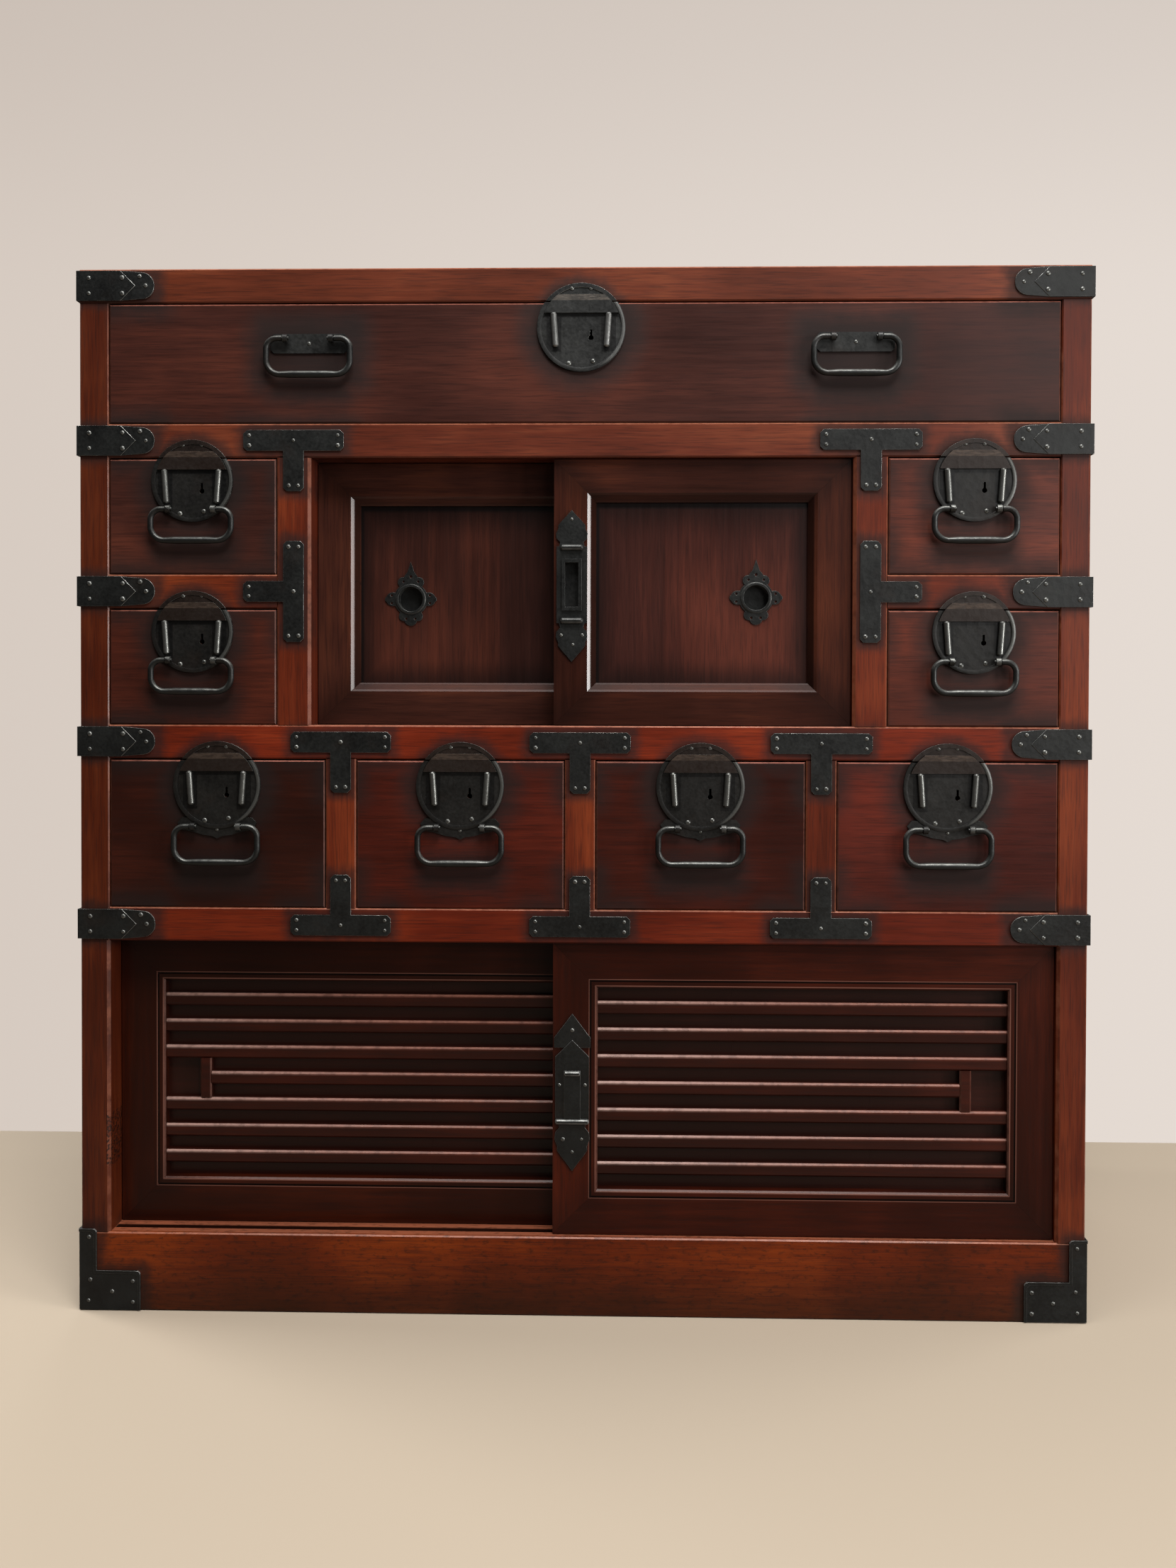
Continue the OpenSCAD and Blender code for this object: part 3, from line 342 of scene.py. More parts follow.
class Wood(Finish):
    # the finish of one board: a figure, and layers that lie on it one over the other
    def __init__(self, name, box, look):
        super().__init__(name)
        self.look = look
        self.low, self.high = box
        self.x, self.y, self.z = self.place()
        self.spot = self.point(self.x, self.y, self.z)
        self.depth = self.y - frontY
        nx, ny, self.nz = self.facing()
        self.slant = 1.0 - abs(nx).most(abs(ny)).most(abs(self.nz))
        self.level = abs(nx).below(0.2)
        self.rubbed = self.noise(self.spot, woodPlan["rub"], 3.0, 0.65)
        self.dark = None
        self.metal = 0.0
        if look["lie"] == "frame":
            foot, head = self.low.z + hidden["lowTongue"], self.high.z - hidden["highTongue"]
            self.fromSide = (self.x - self.low.x).least(self.high.x - self.x)
            self.fromEnd = (self.z - foot).least(head - self.z)

    def dye(self, share, colour):
        # lays a colour over what is there
        colour = hue(colour) if isinstance(colour, str) else colour
        self.colour = self.tint(share, self.colour, colour)

    def along(self, lie, shift):
        # the place, with the grain's direction first
        x, y, z = self.x, self.y, self.z
        first, side, deep = {"x": (x, z, y), "z": (z, x, y), "y": (y, x, z)}[lie]
        return self.point(first * woodPlan["stretch"] + shift, side, deep)

    def grain(self, lie, shift):
        if lie == "frame":
            # stiles upright and rails level, with the mitre between them
            upright = self.fromSide.below(self.fromEnd)
        elif lie == "posts":
            # posts upright, and the little shelves outside the columns level
            upright = abs(self.x).below((ironPlan["columnX"] + ironPlan["columnHalf"]) / 1000)
        else:
            return self.along(lie, shift)
        return self.pick(upright, self.along("x", shift), self.along("z", shift + woodPlan["nextMember"]))

    def figure(self):
        look, shift = self.look, self.look["shift"]
        spot = self.grain(look["lie"], shift)
        tone = None
        if look["boards"]:
            # upright boards side by side, each with a figure and a tone of its own
            index = ((self.x - self.low.x) * (look["boards"] / (self.high.x - self.low.x))).whole()
            tone = ((index * 12.9898 + shift * 7.1).sine() * 43.7585).part()
            on, up = woodPlan["nextBoard"]
            moved = {0: spot, 1: self.point(index * on, index * up, 0.0)}
            spot = self.add("ShaderNodeVectorMath", {"operation": "ADD"}, moved).outputs[0]
        bands = self.noise(spot, woodPlan["bands"], 3.0, 0.55, 0.35)
        self.streaks = self.noise(spot, woodPlan["streaks"], 4.0, 0.6, 0.2)
        self.fibres = self.noise(spot, woodPlan["fibres"], 2.0, 0.5)
        self.patches = self.noise(self.point(self.x + shift, self.y, self.z), woodPlan["patches"], 3.0, 0.55)
        mixture = 0.5 + (bands - 0.5) * look["bands"] + (self.streaks - 0.5) * look["streaks"]
        mixture = mixture + (self.patches - 0.5) * look["patches"]
        if tone is not None:
            mixture = mixture + (tone - 0.5) * look["tones"]
        self.mixture = mixture
        shades = ((0.0, "deep"), (0.5, "mid"), (1.0, "warm"))
        self.colour = self.stops(mixture, *((at, hue(look[key], look["gain"])) for at, key in shades))
        self.dye(self.fibres.step(0.45, 0.72) * look["pores"], woodPlan["pore"])
        self.rough = look["rough"] + (self.patches - 0.5) * 0.25 + (self.streaks - 0.5) * 0.15

    def bareInside(self):
        # behind the rails and posts the wood never had lacquer
        raw = self.stops(self.mixture, (0.1, hue(woodPlan["innerDeep"])), (0.9, hue(woodPlan["innerWood"])))
        inside = self.depth.over(self.look["inner"])
        if self.look["outerX"]:
            inside = inside * abs(self.x).below(self.look["outerX"])
        self.dye(inside, raw)

    def sootRoundIron(self):
        # sooty darkening round the plates with painted shade in it, and a painted shadow under each bail's
        # grip
        away = ironAway(self.x, self.z, (self.low, self.high), woodPlan["sootSearch"])
        if away is None:
            return
        waver = (self.noise(self.spot, woodPlan["sootWaver"], 3.0, 0.6) - 0.5) * 0.012
        dark = (1.0 - (away + waver).step(0.0, self.look["sootReach"])) * self.look["soot"]
        # on the chest's sides the straps end a little behind the front
        self.dark = dark * (1.0 - self.depth.step(*woodPlan["sootEnd"]))
        self.dye(self.dark, dirtAndShade["soot"])
        self.rough = self.rough + self.dark * 0.3

    def wornEdges(self):
        look = self.look
        edge = self.slant.step(*woodPlan["edge"])
        worn = edge * (0.45 + self.rubbed.step(0.3, 0.6) * 0.55) * look["wornShare"]
        # edges that face down keep the board's colour, as painted shade
        worn = worn * self.nz.step(-0.4, -0.1)
        if look["broken"]:
            # upright edges are worn in patches
            kept = 1.0 - self.noise(self.spot, look["broken"], 3.0, 0.6).step(0.4, 0.6)
            worn = worn * (1.0 - (1.0 - self.level) * kept * 0.85)
        # edges that run level are painted paler than upright ones: wear, with a painted highlight of the
        # light from above
        upright = look["wornSide"] or look["worn"]
        self.dye(worn, self.tint(self.level, hue(upright), hue(look["worn"])))
        self.coat = look["coat"] + edge * look["edgeCoat"]

    def doorGrooveDustAndShade(self):
        # dust and painted shade on the bottoms of the grooves, below the sill's top, and ledges beside them
        # painted paler: wear with a painted highlight
        sill, near, far = (size / 1000 for size in self.look["groove"])
        between = self.depth.over(near) * self.depth.below(far)
        self.dye(self.z.below(sill) * between * 0.9, dirtAndShade["groove"])
        self.dye(self.z.over(sill) * between * 0.5, self.look["worn"])

    def footDarkening(self):
        # darker towards the floor, and speckled
        risen = (self.z + (self.patches - 0.5) * 0.02).step(0.0, self.look["foot"])
        self.dye((1.0 - risen) * 0.7, dirtAndShade["foot"])
        speckle = self.noise(self.point(self.x * 0.5, self.y, self.z), woodPlan["speckle"], 4.0, 0.7)
        self.dye(speckle.step(0.5, 0.68) * 0.55, dirtAndShade["speckle"])

    def beadHighlightsAndShade(self):
        # the groove in painted shade, with a lip on each side that shows wear and a painted highlight
        inward = self.fromSide.least(self.fromEnd) - self.look["bead"]
        for near, far, share, kind in beadLines:
            colour = self.look["worn"] if kind == "worn" else dirtAndShade["bead"]
            self.dye(inward.over(near) * inward.below(far) * share, colour)

    def panelShade(self):
        # a panel is darker along its edges, most of all under the upper one and beside the left one
        edge = hidden["panel"]
        left, right = self.x - (self.low.x + edge), (self.high.x - edge) - self.x
        foot, head = self.z - (self.low.z + edge), (self.high.z - edge) - self.z
        border = left.least(right).least(foot).least(head * 0.65)
        self.dye((1.0 - border.step(0.0, self.look["shade"])) * 0.7, dirtAndShade["panelEdge"])
        line = (1.0 - head.step(*panelPlan["headLine"])).most(1.0 - left.step(*panelPlan["leftLine"]))
        self.dye(line * 0.85, dirtAndShade["panelLine"])

    def chips(self):
        # chipped lacquer: x, z, half width and half height of each place, in millimetres
        for cx, cz, halfW, halfH in self.look["nicks"]:
            dx, dz = abs(self.x - cx / 1000) * (1000 / halfW), abs(self.z - cz / 1000) * (1000 / halfH)
            flakes = self.noise(self.spot, woodPlan["chip"], 2.0, 0.5).step(0.48, 0.54)
            self.dye(dx.most(dz).below(1.0) * flakes * 0.85, dirtAndShade["chip"])

    def mitreDirt(self):
        # where the frame's members meet
        corner = 1.0 - abs(self.fromSide - self.fromEnd).step(0.0, woodPlan["mitreReach"])
        self.dye(corner * (0.6 + self.patches * 0.8) * self.look["mitre"], dirtAndShade["mitre"])

    def shadeBehindSlats(self):
        # painted shade on the wood in the gaps behind the slats
        self.dye(self.depth.step(*self.look["behind"]) * 0.5, dirtAndShade["behind"])

    def polishedAndShadedSlopes(self):
        # round a panel, upright slopes are polished along their crest, and level ones along both their edges;
        # the rest of an upright slope is painted shade, darker and with its sheen held back by a dark metal
        # finish, and level ones get a little painted shade between their lines
        p, level = slopePlan, self.level
        fall = self.y - self.low.y
        sloped = self.slant.step(*p["slant"])
        crest = (1.0 - fall.step(*p["crest"])) * (1.0 - level)
        lines = level * (fall.below(p["nearLine"]) + fall.over(p["farLine"]) * 0.6)
        polish = crest * self.look["slope"] + lines * p["lineCoat"]
        self.coat = self.look["coat"] * (1.0 - sloped) + sloped * polish
        shadedFlank = sloped * (1.0 - crest) * (1.0 - level)
        self.rough = self.rough + shadedFlank * 0.4 + sloped * level * 0.2
        self.metal = shadedFlank * 0.7
        self.dye(shadedFlank * 0.75, dirtAndShade["slope"])
        self.dye(sloped * level * (1.0 - lines) * 0.2, dirtAndShade["ledge"])

    def slatEdgesWornAndLit(self):
        # the upper arris of every slat is painted paler, more so at the left: wear, with a painted highlight
        # of the light from above
        slats = self.look["slats"]
        under = ((slats["top"] - self.z) * (1 / slats["pitch"])).part() * slats["pitch"]
        line = (1.0 - under.step(*slatPlan["line"])) * self.depth.below(slats["face"]) * self.nz.over(-0.3)
        leftward = 1.0 - ((self.x - self.low.x) * (1 / (self.high.x - self.low.x))).step(-0.3, 0.9)
        cx, cz = slats["closing"]
        halfW, halfH = slatPlan["closingHalf"]
        line = line * (1.0 - abs(self.x - cx).below(halfW) * abs(self.z - cz).below(halfH))
        line = line * (0.2 + leftward * 0.35) * (0.55 + self.rubbed.step(0.3, 0.6) * 0.45)
        self.dye(line, self.tint(leftward, hue(slatPlan["right"]), hue(slatPlan["left"])))


# the layers in the order in which they lie, by the part of the look that asks for them
layers = {"inner": Wood.bareInside, "soot": Wood.sootRoundIron, "wornShare": Wood.wornEdges,
          "groove": Wood.doorGrooveDustAndShade, "foot": Wood.footDarkening, "bead": Wood.beadHighlightsAndShade,
          "shade": Wood.panelShade, "nicks": Wood.chips, "mitre": Wood.mitreDirt,
          "behind": Wood.shadeBehindSlats, "slope": Wood.polishedAndShadedSlopes, "slats": Wood.slatEdgesWornAndLit}


def woodFinish(name, box, look):
    wood = Wood(name, box, look)
    wood.figure()
    for key, layer in layers.items():
        if look[key]:
            layer(wood)
    # the coat is thinned under the sooty darkening and painted shade, so that they stay dark
    coat = wood.coat if wood.dark is None else wood.coat * (1.0 - wood.dark * 0.8)
    height = wood.streaks * 0.55 + wood.fibres * 0.45
    normal = wood.bump(height, woodPlan["bump"], woodPlan["bumpDepth"])
    return wood.close(colour=wood.colour, rough=wood.rough, shine=look["shine"], coat=coat,
                      coatRough=look["coatRough"], metal=wood.metal, normal=normal)


# iron

ironLook = {
    "deep": "#0a0b0b", "pale": "#1b1d1c", "rust": "#1f1611", "rustShare": 0.45,
    "bright": "#b9bab6", "edges": 0.9,      # metal bright from rubbing and a painted highlight, and how much of it shows on the edges
    "above": False,                         # rubbing and painted highlight only where it faces up, as if lit from above
    "proud": None,                          # how far out black metal turns bright from rubbing and a painted highlight, from and to
    "metal": 0.3, "rough": 0.42, "dents": 0.4, "dentDepth": 0.0006,
}
# how fine its clouds, its grit and the rest are, and how slanted a face is that counts as an edge
ironGrain = {"cloud": 38.0, "grit": 420.0, "stain": 22.0, "rub": 160.0, "dents": 150.0, "strip": 900.0,
             "edge": (0.03, 0.07)}
# a lock plate's parts, that the finish follows; drops are below its top
lockPlan = {
    "rimHalf": 0.00175, "rimHeight": 2.2, "bandOut": 0.0026, "plateOut": 0.002,
    "bandDrop": 0.026, "lipDrop": 0.015, "underDrop": (0.0255, 0.029), "stapleDrop": (0.0255, 0.058),
    "stapleX": 0.0232, "besideHalf": 0.0062, "brightR": 0.045, "shadedRim": 0.004, "shadow": "#010101",
}


class Iron(Finish):
    def __init__(self, name, look):
        super().__init__(name)
        self.look = look
        self.x, self.y, self.z = self.place()
        spot = self.point(self.x, self.y, self.z)
        self.proud = frontY - self.y
        self.cloud = self.noise(spot, ironGrain["cloud"], 4.0, 0.6)
        self.grit = self.noise(spot, ironGrain["grit"], 3.0, 0.6)
        shades = (0.32, hue(look["deep"])), (0.68, hue(look["pale"]))
        self.colour = self.stops(self.cloud * 0.7 + self.grit * 0.3, *shades)
        stain = self.noise(spot, ironGrain["stain"], 5.0, 0.65).step(0.52, 0.72) * look["rustShare"]
        self.dye(stain, look["rust"])
        nx, ny, nz = self.facing()
        # edges and proud faces get bright metal from rubbing and a painted highlight; on the bails only their
        # upper faces
        litTop = nz.step(0.0, 0.6) if look["above"] else 1.0
        slant = (1.0 - abs(nx).most(abs(ny)).most(abs(nz))).step(*ironGrain["edge"])
        patchy = 0.4 + self.noise(spot, ironGrain["rub"], 3.0, 0.6).step(0.35, 0.6) * 0.6
        self.rubbed = slant * litTop * patchy * look["edges"]
        if look["proud"]:
            face = self.proud.step(*look["proud"]) * (0.55 + self.grit * 0.6) * look["edges"]
            self.rubbed = self.rubbed.most(face)
        self.height = self.cells(spot, ironGrain["dents"]) * 0.6 + self.grit * 0.4

    def dye(self, share, colour):
        self.colour = self.tint(share, self.colour, hue(colour))

    def lockPlate(self, cx, cz, radius):
        # rim, band, lip and the painted shadows beside them, round the middle of a plate
        look, p = self.look, lockPlan
        dx, dz = self.x - cx, self.z - cz
        fromMiddle = (dx * dx + dz * dz).root()
        drop = radius - dz
        # a raised rim with a painted highlight at the right, its outer edge elsewhere kept dark as painted
        # shade
        across = (fromMiddle - (radius - p["rimHalf"])) * (1 / p["rimHalf"])
        litFromRight = (dx * (1 / radius)).step(0.3, 0.8)
        rim = (1.0 - across * across).most(0.0) * self.proud.below(p["bandOut"]) * (0.3 + litFromRight * 0.7)
        self.height = self.height + rim * p["rimHeight"]
        shadedRim = (1.0 - litFromRight) * fromMiddle.over(radius - p["shadedRim"])
        rubbed = self.rubbed * fromMiddle.below(p["brightR"]) * (1.0 - shadedRim)
        self.rubbed = rubbed.most(rim.step(0.3, 0.8) * look["rim"])
        # the cross band, and the lip above it, painted paler as the band's top lit from above, with its drawn
        # streaks
        band = drop.below(p["bandDrop"]) * self.proud.over(p["bandOut"])
        self.dye(band * look["band"], look["bandTone"])
        lip = drop.below(p["lipDrop"]) * self.proud.over(p["bandOut"])
        strip = self.noise(self.point(self.x * 0.2, self.y, self.z), ironGrain["strip"], 2.0, 0.5)
        self.dye(lip * (0.2 + strip.step(0.35, 0.65) * 0.4), look["lipHighlightTone"])
        # painted shadow in the corners under the band and beside the staples
        (high, low), (first, last) = p["underDrop"], p["stapleDrop"]
        under = drop.below(low) * drop.over(high)
        beside = abs(abs(dx) - p["stapleX"]).below(p["besideHalf"]) * drop.below(last) * drop.over(first)
        self.dye(under.most(beside) * self.proud.below(p["plateOut"]) * 0.95, p["shadow"])

    def finished(self):
        look, rubbed = self.look, self.rubbed
        self.dye(rubbed, look["bright"])
        rough = look["rough"] + (self.grit - 0.5) * 0.3 + (self.cloud - 0.5) * 0.2 - rubbed * 0.12
        metal = look["metal"] + rubbed * (0.9 - look["metal"])
        normal = self.bump(self.height, look["dents"], look["dentDepth"])
        return self.close(colour=self.colour, rough=rough, metal=metal, normal=normal)


def ironFinish(name, look, lock=None):
    # lock: the middle in x and z and the radius of a lock plate, in millimetres
    iron = Iron(name, look)
    if lock is not None:
        iron.lockPlate(*(size / 1000 for size in lock))
    return iron.finished()


forgedIron = ironFinish("forgedIron", ironLook)
bigLockLook = {**ironLook, "edges": 0.72, "bright": "#8f908e", "pale": "#272827", "proud": (0.0039, 0.0052),
               "lipHighlightTone": "#6a625a", "bandTone": "#272827", "band": 0.0, "rim": 0.35}
lockLook = {**ironLook, "bright": "#6f706d", "deep": "#0d0d0c", "pale": "#1c1b19", "proud": (0.0042, 0.0056),
            "lipHighlightTone": "#53453b", "bandTone": "#20150f", "band": 0.8, "rim": 0.55}
# the bails: a painted highlight on their upper faces, left dark below as painted shade
bailIron = ironFinish("bailIron", {**ironLook, "edges": 0.55, "bright": "#7a7b77", "above": True})
# the latches' edges carry a painted highlight, the lower latch's brighter
latchIron = ironFinish("latchIron", {**ironLook, "edges": 0.32, "bright": "#7b7c79"})
brightLatchIron = ironFinish("brightLatchIron", {**ironLook, "edges": 0.5, "bright": "#a4a5a2"})
hoodLook = {**ironLook, "deep": "#140d0a", "pale": "#271b14", "rustShare": 0.7, "edges": 0.3}
hoodIron = ironFinish("rustyIron", hoodLook)
nailLook = {**ironLook, "deep": "#3c3d3b", "pale": "#5c5d5a", "rustShare": 0.35, "rough": 0.38, "metal": 0.7,
            "dents": 0.1, "edges": 0.22}
nailIron = ironFinish("nailIron", nailLook)
print("iron finish made")


# wood on the imported boards

# deep, mid and warm are the figure's colours; worn and wornSide are those of level and upright edges, which
# show wear and a painted highlight
boardLook = {
    "pores": 0.4, "boards": 0, "tones": 0.5,            # upright boards in one piece, and how they differ
    "inner": None, "outerX": None,                      # bare wood: behind this depth, and within this width
    "soot": 0, "sootReach": 0.012,
    "wornShare": 0.75, "wornSide": None, "broken": 0, "edgeCoat": 0.12,
    "groove": None, "foot": 0, "bead": 0, "shade": 0, "nicks": (), "mitre": 0, "behind": None, "slope": 0,
    "slats": None, "coatRough": 0.16, "shine": 0.22,
}
carcassLook = {**boardLook, "deep": "#35140a", "mid": "#5e2511", "warm": "#87401f", "worn": "#a0634a",
               "wornSide": "#7a4631", "rough": 0.42, "coat": 0.08, "bands": 0.55, "streaks": 0.6,
               "patches": 1.3, "soot": 0.7, "wornShare": 0.7}
frontLook = {**boardLook, "deep": "#200c08", "mid": "#41190f", "warm": "#6b2a17", "worn": "#94594a",
             "wornSide": "#5c3a30", "rough": 0.38, "coat": 0.08, "bands": 0.45, "streaks": 0.5,
             "patches": 1.1, "soot": 0.8, "sootReach": 0.028, "wornShare": 0.7, "tones": 0.3}
frameLook = {**boardLook, "deep": "#1d0b06", "mid": "#3d180d", "warm": "#672b14", "worn": "#7a4634",
             "rough": 0.36, "coat": 0.08, "bands": 0.5, "streaks": 0.5, "patches": 1.2, "wornShare": 0.3,
             "coatRough": 0.1, "shine": 0.14}
plainLook = {**boardLook, "deep": "#5d3d26", "mid": "#8a6038", "warm": "#b08354", "worn": "#b08a60",
             "rough": 0.62, "coat": 0.0, "bands": 1.2, "streaks": 1.2, "patches": 0.6, "wornShare": 0.2,
             "edgeCoat": 0.0}

# how the colour of each board differs from its family's look, in red, green and blue: partly its own tone and
# partly painted shade, deeper on the lower boards and at the left where the light falls off
tones = {
    "top_board": (1.07, 1.28, 1.46),
    "top_drawer_front": (0.83, 1.22, 1.62),
    "upper_shelf": (0.93, 1.06, 1.42),
    "left_upper_drawer_front": (0.83, 1.28, 1.74),
    "right_upper_drawer_front": (1.25, 1.57, 1.82),
    "left_lower_drawer_front": (0.97, 1.12, 1.21),
    "right_lower_drawer_front": (1.41, 1.6, 1.7),
    "upper_left_door_frame": (0.9, 1.34, 1.86),
    "upper_left_door_infill": (0.6, 0.87, 1.13),
    "upper_right_door_infill": (0.74, 1.0, 1.38),
    "upper_right_door_frame": (0.78, 1.0, 1.24),
    "middle_shelf": (1.37, 0.88, 0.67),
    "row_drawer_1_front": (0.44, 0.46, 0.44),
    "row_drawer_2_front": (0.97, 0.68, 0.58),
    "row_drawer_3_front": (0.57, 0.41, 0.31),
    "row_drawer_4_front": (1.03, 0.81, 0.87),
    "lower_shelf": (0.92, 0.55, 0.37),
    "lower_left_door_frame": (0.43, 0.34, 0.23),
    "lower_right_door_frame": (0.57, 0.41, 0.32),
    "lower_right_door_infill": (0.42, 0.31, 0.18),
    "lower_left_door_infill": (0.4, 0.3, 0.19),
    "plinth": (0.97, 0.72, 0.12),
    "partitions": (0.95, 0.8, 0.68),
    "side_left": (0.54, 0.49, 0.36),
    "side_right": (0.73, 0.59, 0.44),
}


def paintWood(node, look, **changes):
    changes["gain"] = tones.get(node, (1.0, 1.0, 1.0))
    slots = nodes[node].data.materials
    slots.clear()
    slots.append(woodFinish(node + "Wood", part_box(node), {**look, **changes}))


# depths of the bare wood, and how wide the chest is inside
barePlan = {"rail": 0.0545, "front": 0.0195, "insideX": 0.4052}
# what has door grooves in its upper side: height of their sill, and between which depths they lie
grooves = {"middle_shelf": (505.9, 3, 48), "floor_board": (67.4, 25.5, 48), "plinth": (67.4, 3, 25.5)}
nicks = {"side_left": [(-405, 147, 3.2, 23)], "upper_left_door": [(-191, 631, 8, 1.6)]}
lowerDoor = {"frame": 0.0385, "slat": 0.0112, "slats": 7, "pocket": 0.035, "closingGap": 3.5,
             "faceDepth": 0.003, "shadeDepth": (0.0015, 0.0072)}

for node, shift in (("top_board", 0.0), ("upper_shelf", 0.9), ("middle_shelf", 2.3), ("lower_shelf", 4.1),
                    ("floor_board", 5.0)):
    paintWood(node, carcassLook, lie="x", shift=shift, groove=grooves.get(node),
              inner=None if node == "top_board" else barePlan["rail"])
for node, shift in (("side_left", 6.3), ("side_right", 8.2)):
    paintWood(node, carcassLook, lie="z", shift=shift, inner=barePlan["rail"], outerX=barePlan["insideX"],
              broken=45.0, edgeCoat=0.04, nicks=nicks.get(node, ()))
paintWood("plinth", carcassLook, lie="x", shift=9.4, patches=1.8, foot=0.06, groove=grooves["plinth"])
paintWood("partitions", carcassLook, lie="posts", shift=11.0, inner=barePlan["rail"])
paintWood("back_boards", plainLook, lie="z", shift=3.0, boards=5)
for i, drawer in enumerate(drawers):
    paintWood(drawer + "_front", frontLook, lie="x", shift=1.3 * i + 0.4, inner=barePlan["front"])
    paintWood(drawer + "_box", plainLook, lie="y", shift=0.7 * i)


def slatsOf(door):
    # where a lower door's slats lie: a full pitch above the top one, their pitch, their faces' depth, and the
    # middle of the closing piece
    low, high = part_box(door + "_frame")
    sill = low.z + hidden["lowTongue"] + lowerDoor["frame"]
    head = high.z - hidden["highTongue"] - lowerDoor["frame"]
    count = lowerDoor["slats"]
    gap = (head - sill - count * lowerDoor["slat"]) / (count + 1)
    pitch = lowerDoor["slat"] + gap
    inset = lowerDoor["frame"] + lowerDoor["pocket"]
    closingX = low.x + inset if "left" in door else high.x - inset
    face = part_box(door + "_infill")[0].y - frontY + lowerDoor["faceDepth"]
    return {"top": sill + (count + 1) * pitch, "pitch": pitch, "face": face,
            "closing": (closingX, sill + lowerDoor["closingGap"] * pitch + gap / 2)}


for i, door in enumerate(doors):
    frameShift, infillShift = 2.1 * i + 0.2, 1.9 * i + 5.5
    if door.startswith("upper"):
        paintWood(door + "_frame", frameLook, lie="frame", shift=frameShift, slope=0.42, mitre=0.5,
                  nicks=nicks.get(door, ()))
        paintWood(door + "_infill", frontLook, lie="z", shift=infillShift, boards=3, soot=0, shade=0.022)
    else:
        paintWood(door + "_frame", frameLook, lie="frame", shift=frameShift, bead=0.0315, mitre=0.3,
                  worn="#7c5347")
        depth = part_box(door + "_infill")[0].y - frontY
        paintWood(door + "_infill", frontLook, lie="x", shift=infillShift, soot=0, worn="#8a6050",
                  wornShare=0.6, edgeCoat=0.04, slats=slatsOf(door),
                  behind=[depth + more for more in lowerDoor["shadeDepth"]])
print("boards, drawers and doors finished")


# ironwork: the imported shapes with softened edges

forgePlan = {"weld": 2e-6, "flatTurn": 0.6, "smoothTurn": 35, "bevelTurn": 38, "bevelSteps": 2}
softEdge = {"corner": 0.0009, "lock": 0.0004, "bail": 0.0002, "latch": 0.0003, "lowerLatch": 0.0005}


def forged(node, width, material, other=None, choose=None):
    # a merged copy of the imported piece; a bevel softens its edges so that they catch the light;
    # faces that choose picks, by their middle in x and z in millimetres, get the other material
    mesh = nodes[node].data.copy()
    mesh.name = node + "Forged"
    work = bmesh.new()
    work.from_mesh(mesh)
    bmesh.ops.remove_doubles(work, verts=work.verts, dist=forgePlan["weld"])
    flatTurn = math.radians(forgePlan["flatTurn"])
    bmesh.ops.dissolve_limit(work, angle_limit=flatTurn, verts=work.verts, edges=work.edges)
    for face in work.faces:
        face.smooth = True
    smoothTurn = math.radians(forgePlan["smoothTurn"])
    for edge in work.edges:
        edge.smooth = len(edge.link_faces) == 2 and edge.calc_face_angle(0) < smoothTurn
    work.to_mesh(mesh)
    work.free()
    mesh.materials.clear()
    mesh.materials.append(material)
    if other is not None:
        mesh.materials.append(other)
        for face in mesh.polygons:
            face.material_index = int(choose(face.center.x * 1000, face.center.z * 1000))
    piece = setOut(node + "_forged", mesh)
    soften = piece.modifiers.new("softEdges", "BEVEL")
    soften.width = width
    soften.segments = forgePlan["bevelSteps"]
    soften.limit_method = "ANGLE"
    soften.angle_limit = math.radians(forgePlan["bevelTurn"])
    soften.harden_normals = False
    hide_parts(node)
    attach(piece, bodyOf[node])


lockOf = {}         # drawer: middle of its lock plate in x and z, and the plate's radius
for drawer in drawers:
    row = "top" if drawer == "top_drawer" else "row" if drawer.startswith("row") else drawer.split("_")[1]
    radius = ironPlan["lockR" if row in ("top", "row") else "smallLockR"]
    lockOf[drawer] = (middleX(drawer + "_front"), ironPlan["lockZ"][row], radius)


hoodDrop = 16           # from the top of a lock plate to its nailed segment's foot, with room to spare


def onHood(x, z):
    # the top segments of the locks, that are nailed to the rails; the top drawer's is as plain as the straps
    plates = [plate for drawer, plate in lockOf.items() if drawer != "top_drawer"]
    return any(math.hypot(x - cx, z - cz) < r + 0.5 and z > cz + r - hoodDrop for cx, cz, r in plates)


forged("corner_iron", softEdge["corner"], forgedIron, hoodIron, onHood)
for drawer, plate in lockOf.items():
    look = bigLockLook if drawer == "top_drawer" else lockLook
    forged(drawer + "_lock", softEdge["lock"], ironFinish(drawer + "Iron", look, plate))
for node in nodes:
    if node.endswith("_bail"):
        forged(node, softEdge["bail"], bailIron)
for node in ("upper_left_finger_pull", "upper_right_finger_pull", "upper_latch_plate"):
    forged(node, softEdge["latch"], latchIron)
forged("lower_latch_plate", softEdge["lowerLatch"], brightLatchIron)
print("ironwork forged")


# nails

nailHead = {"Head Radius": 0.00215, "Head Height": 0.5, "Spread": 0.15, "Seed": 7, "Iron": nailIron}
flatHeight = 0.2        # of the heads on the chest's sides, that stay under the straps' own rims
ballFaces = {"Segments": 10, "Rings": 6}


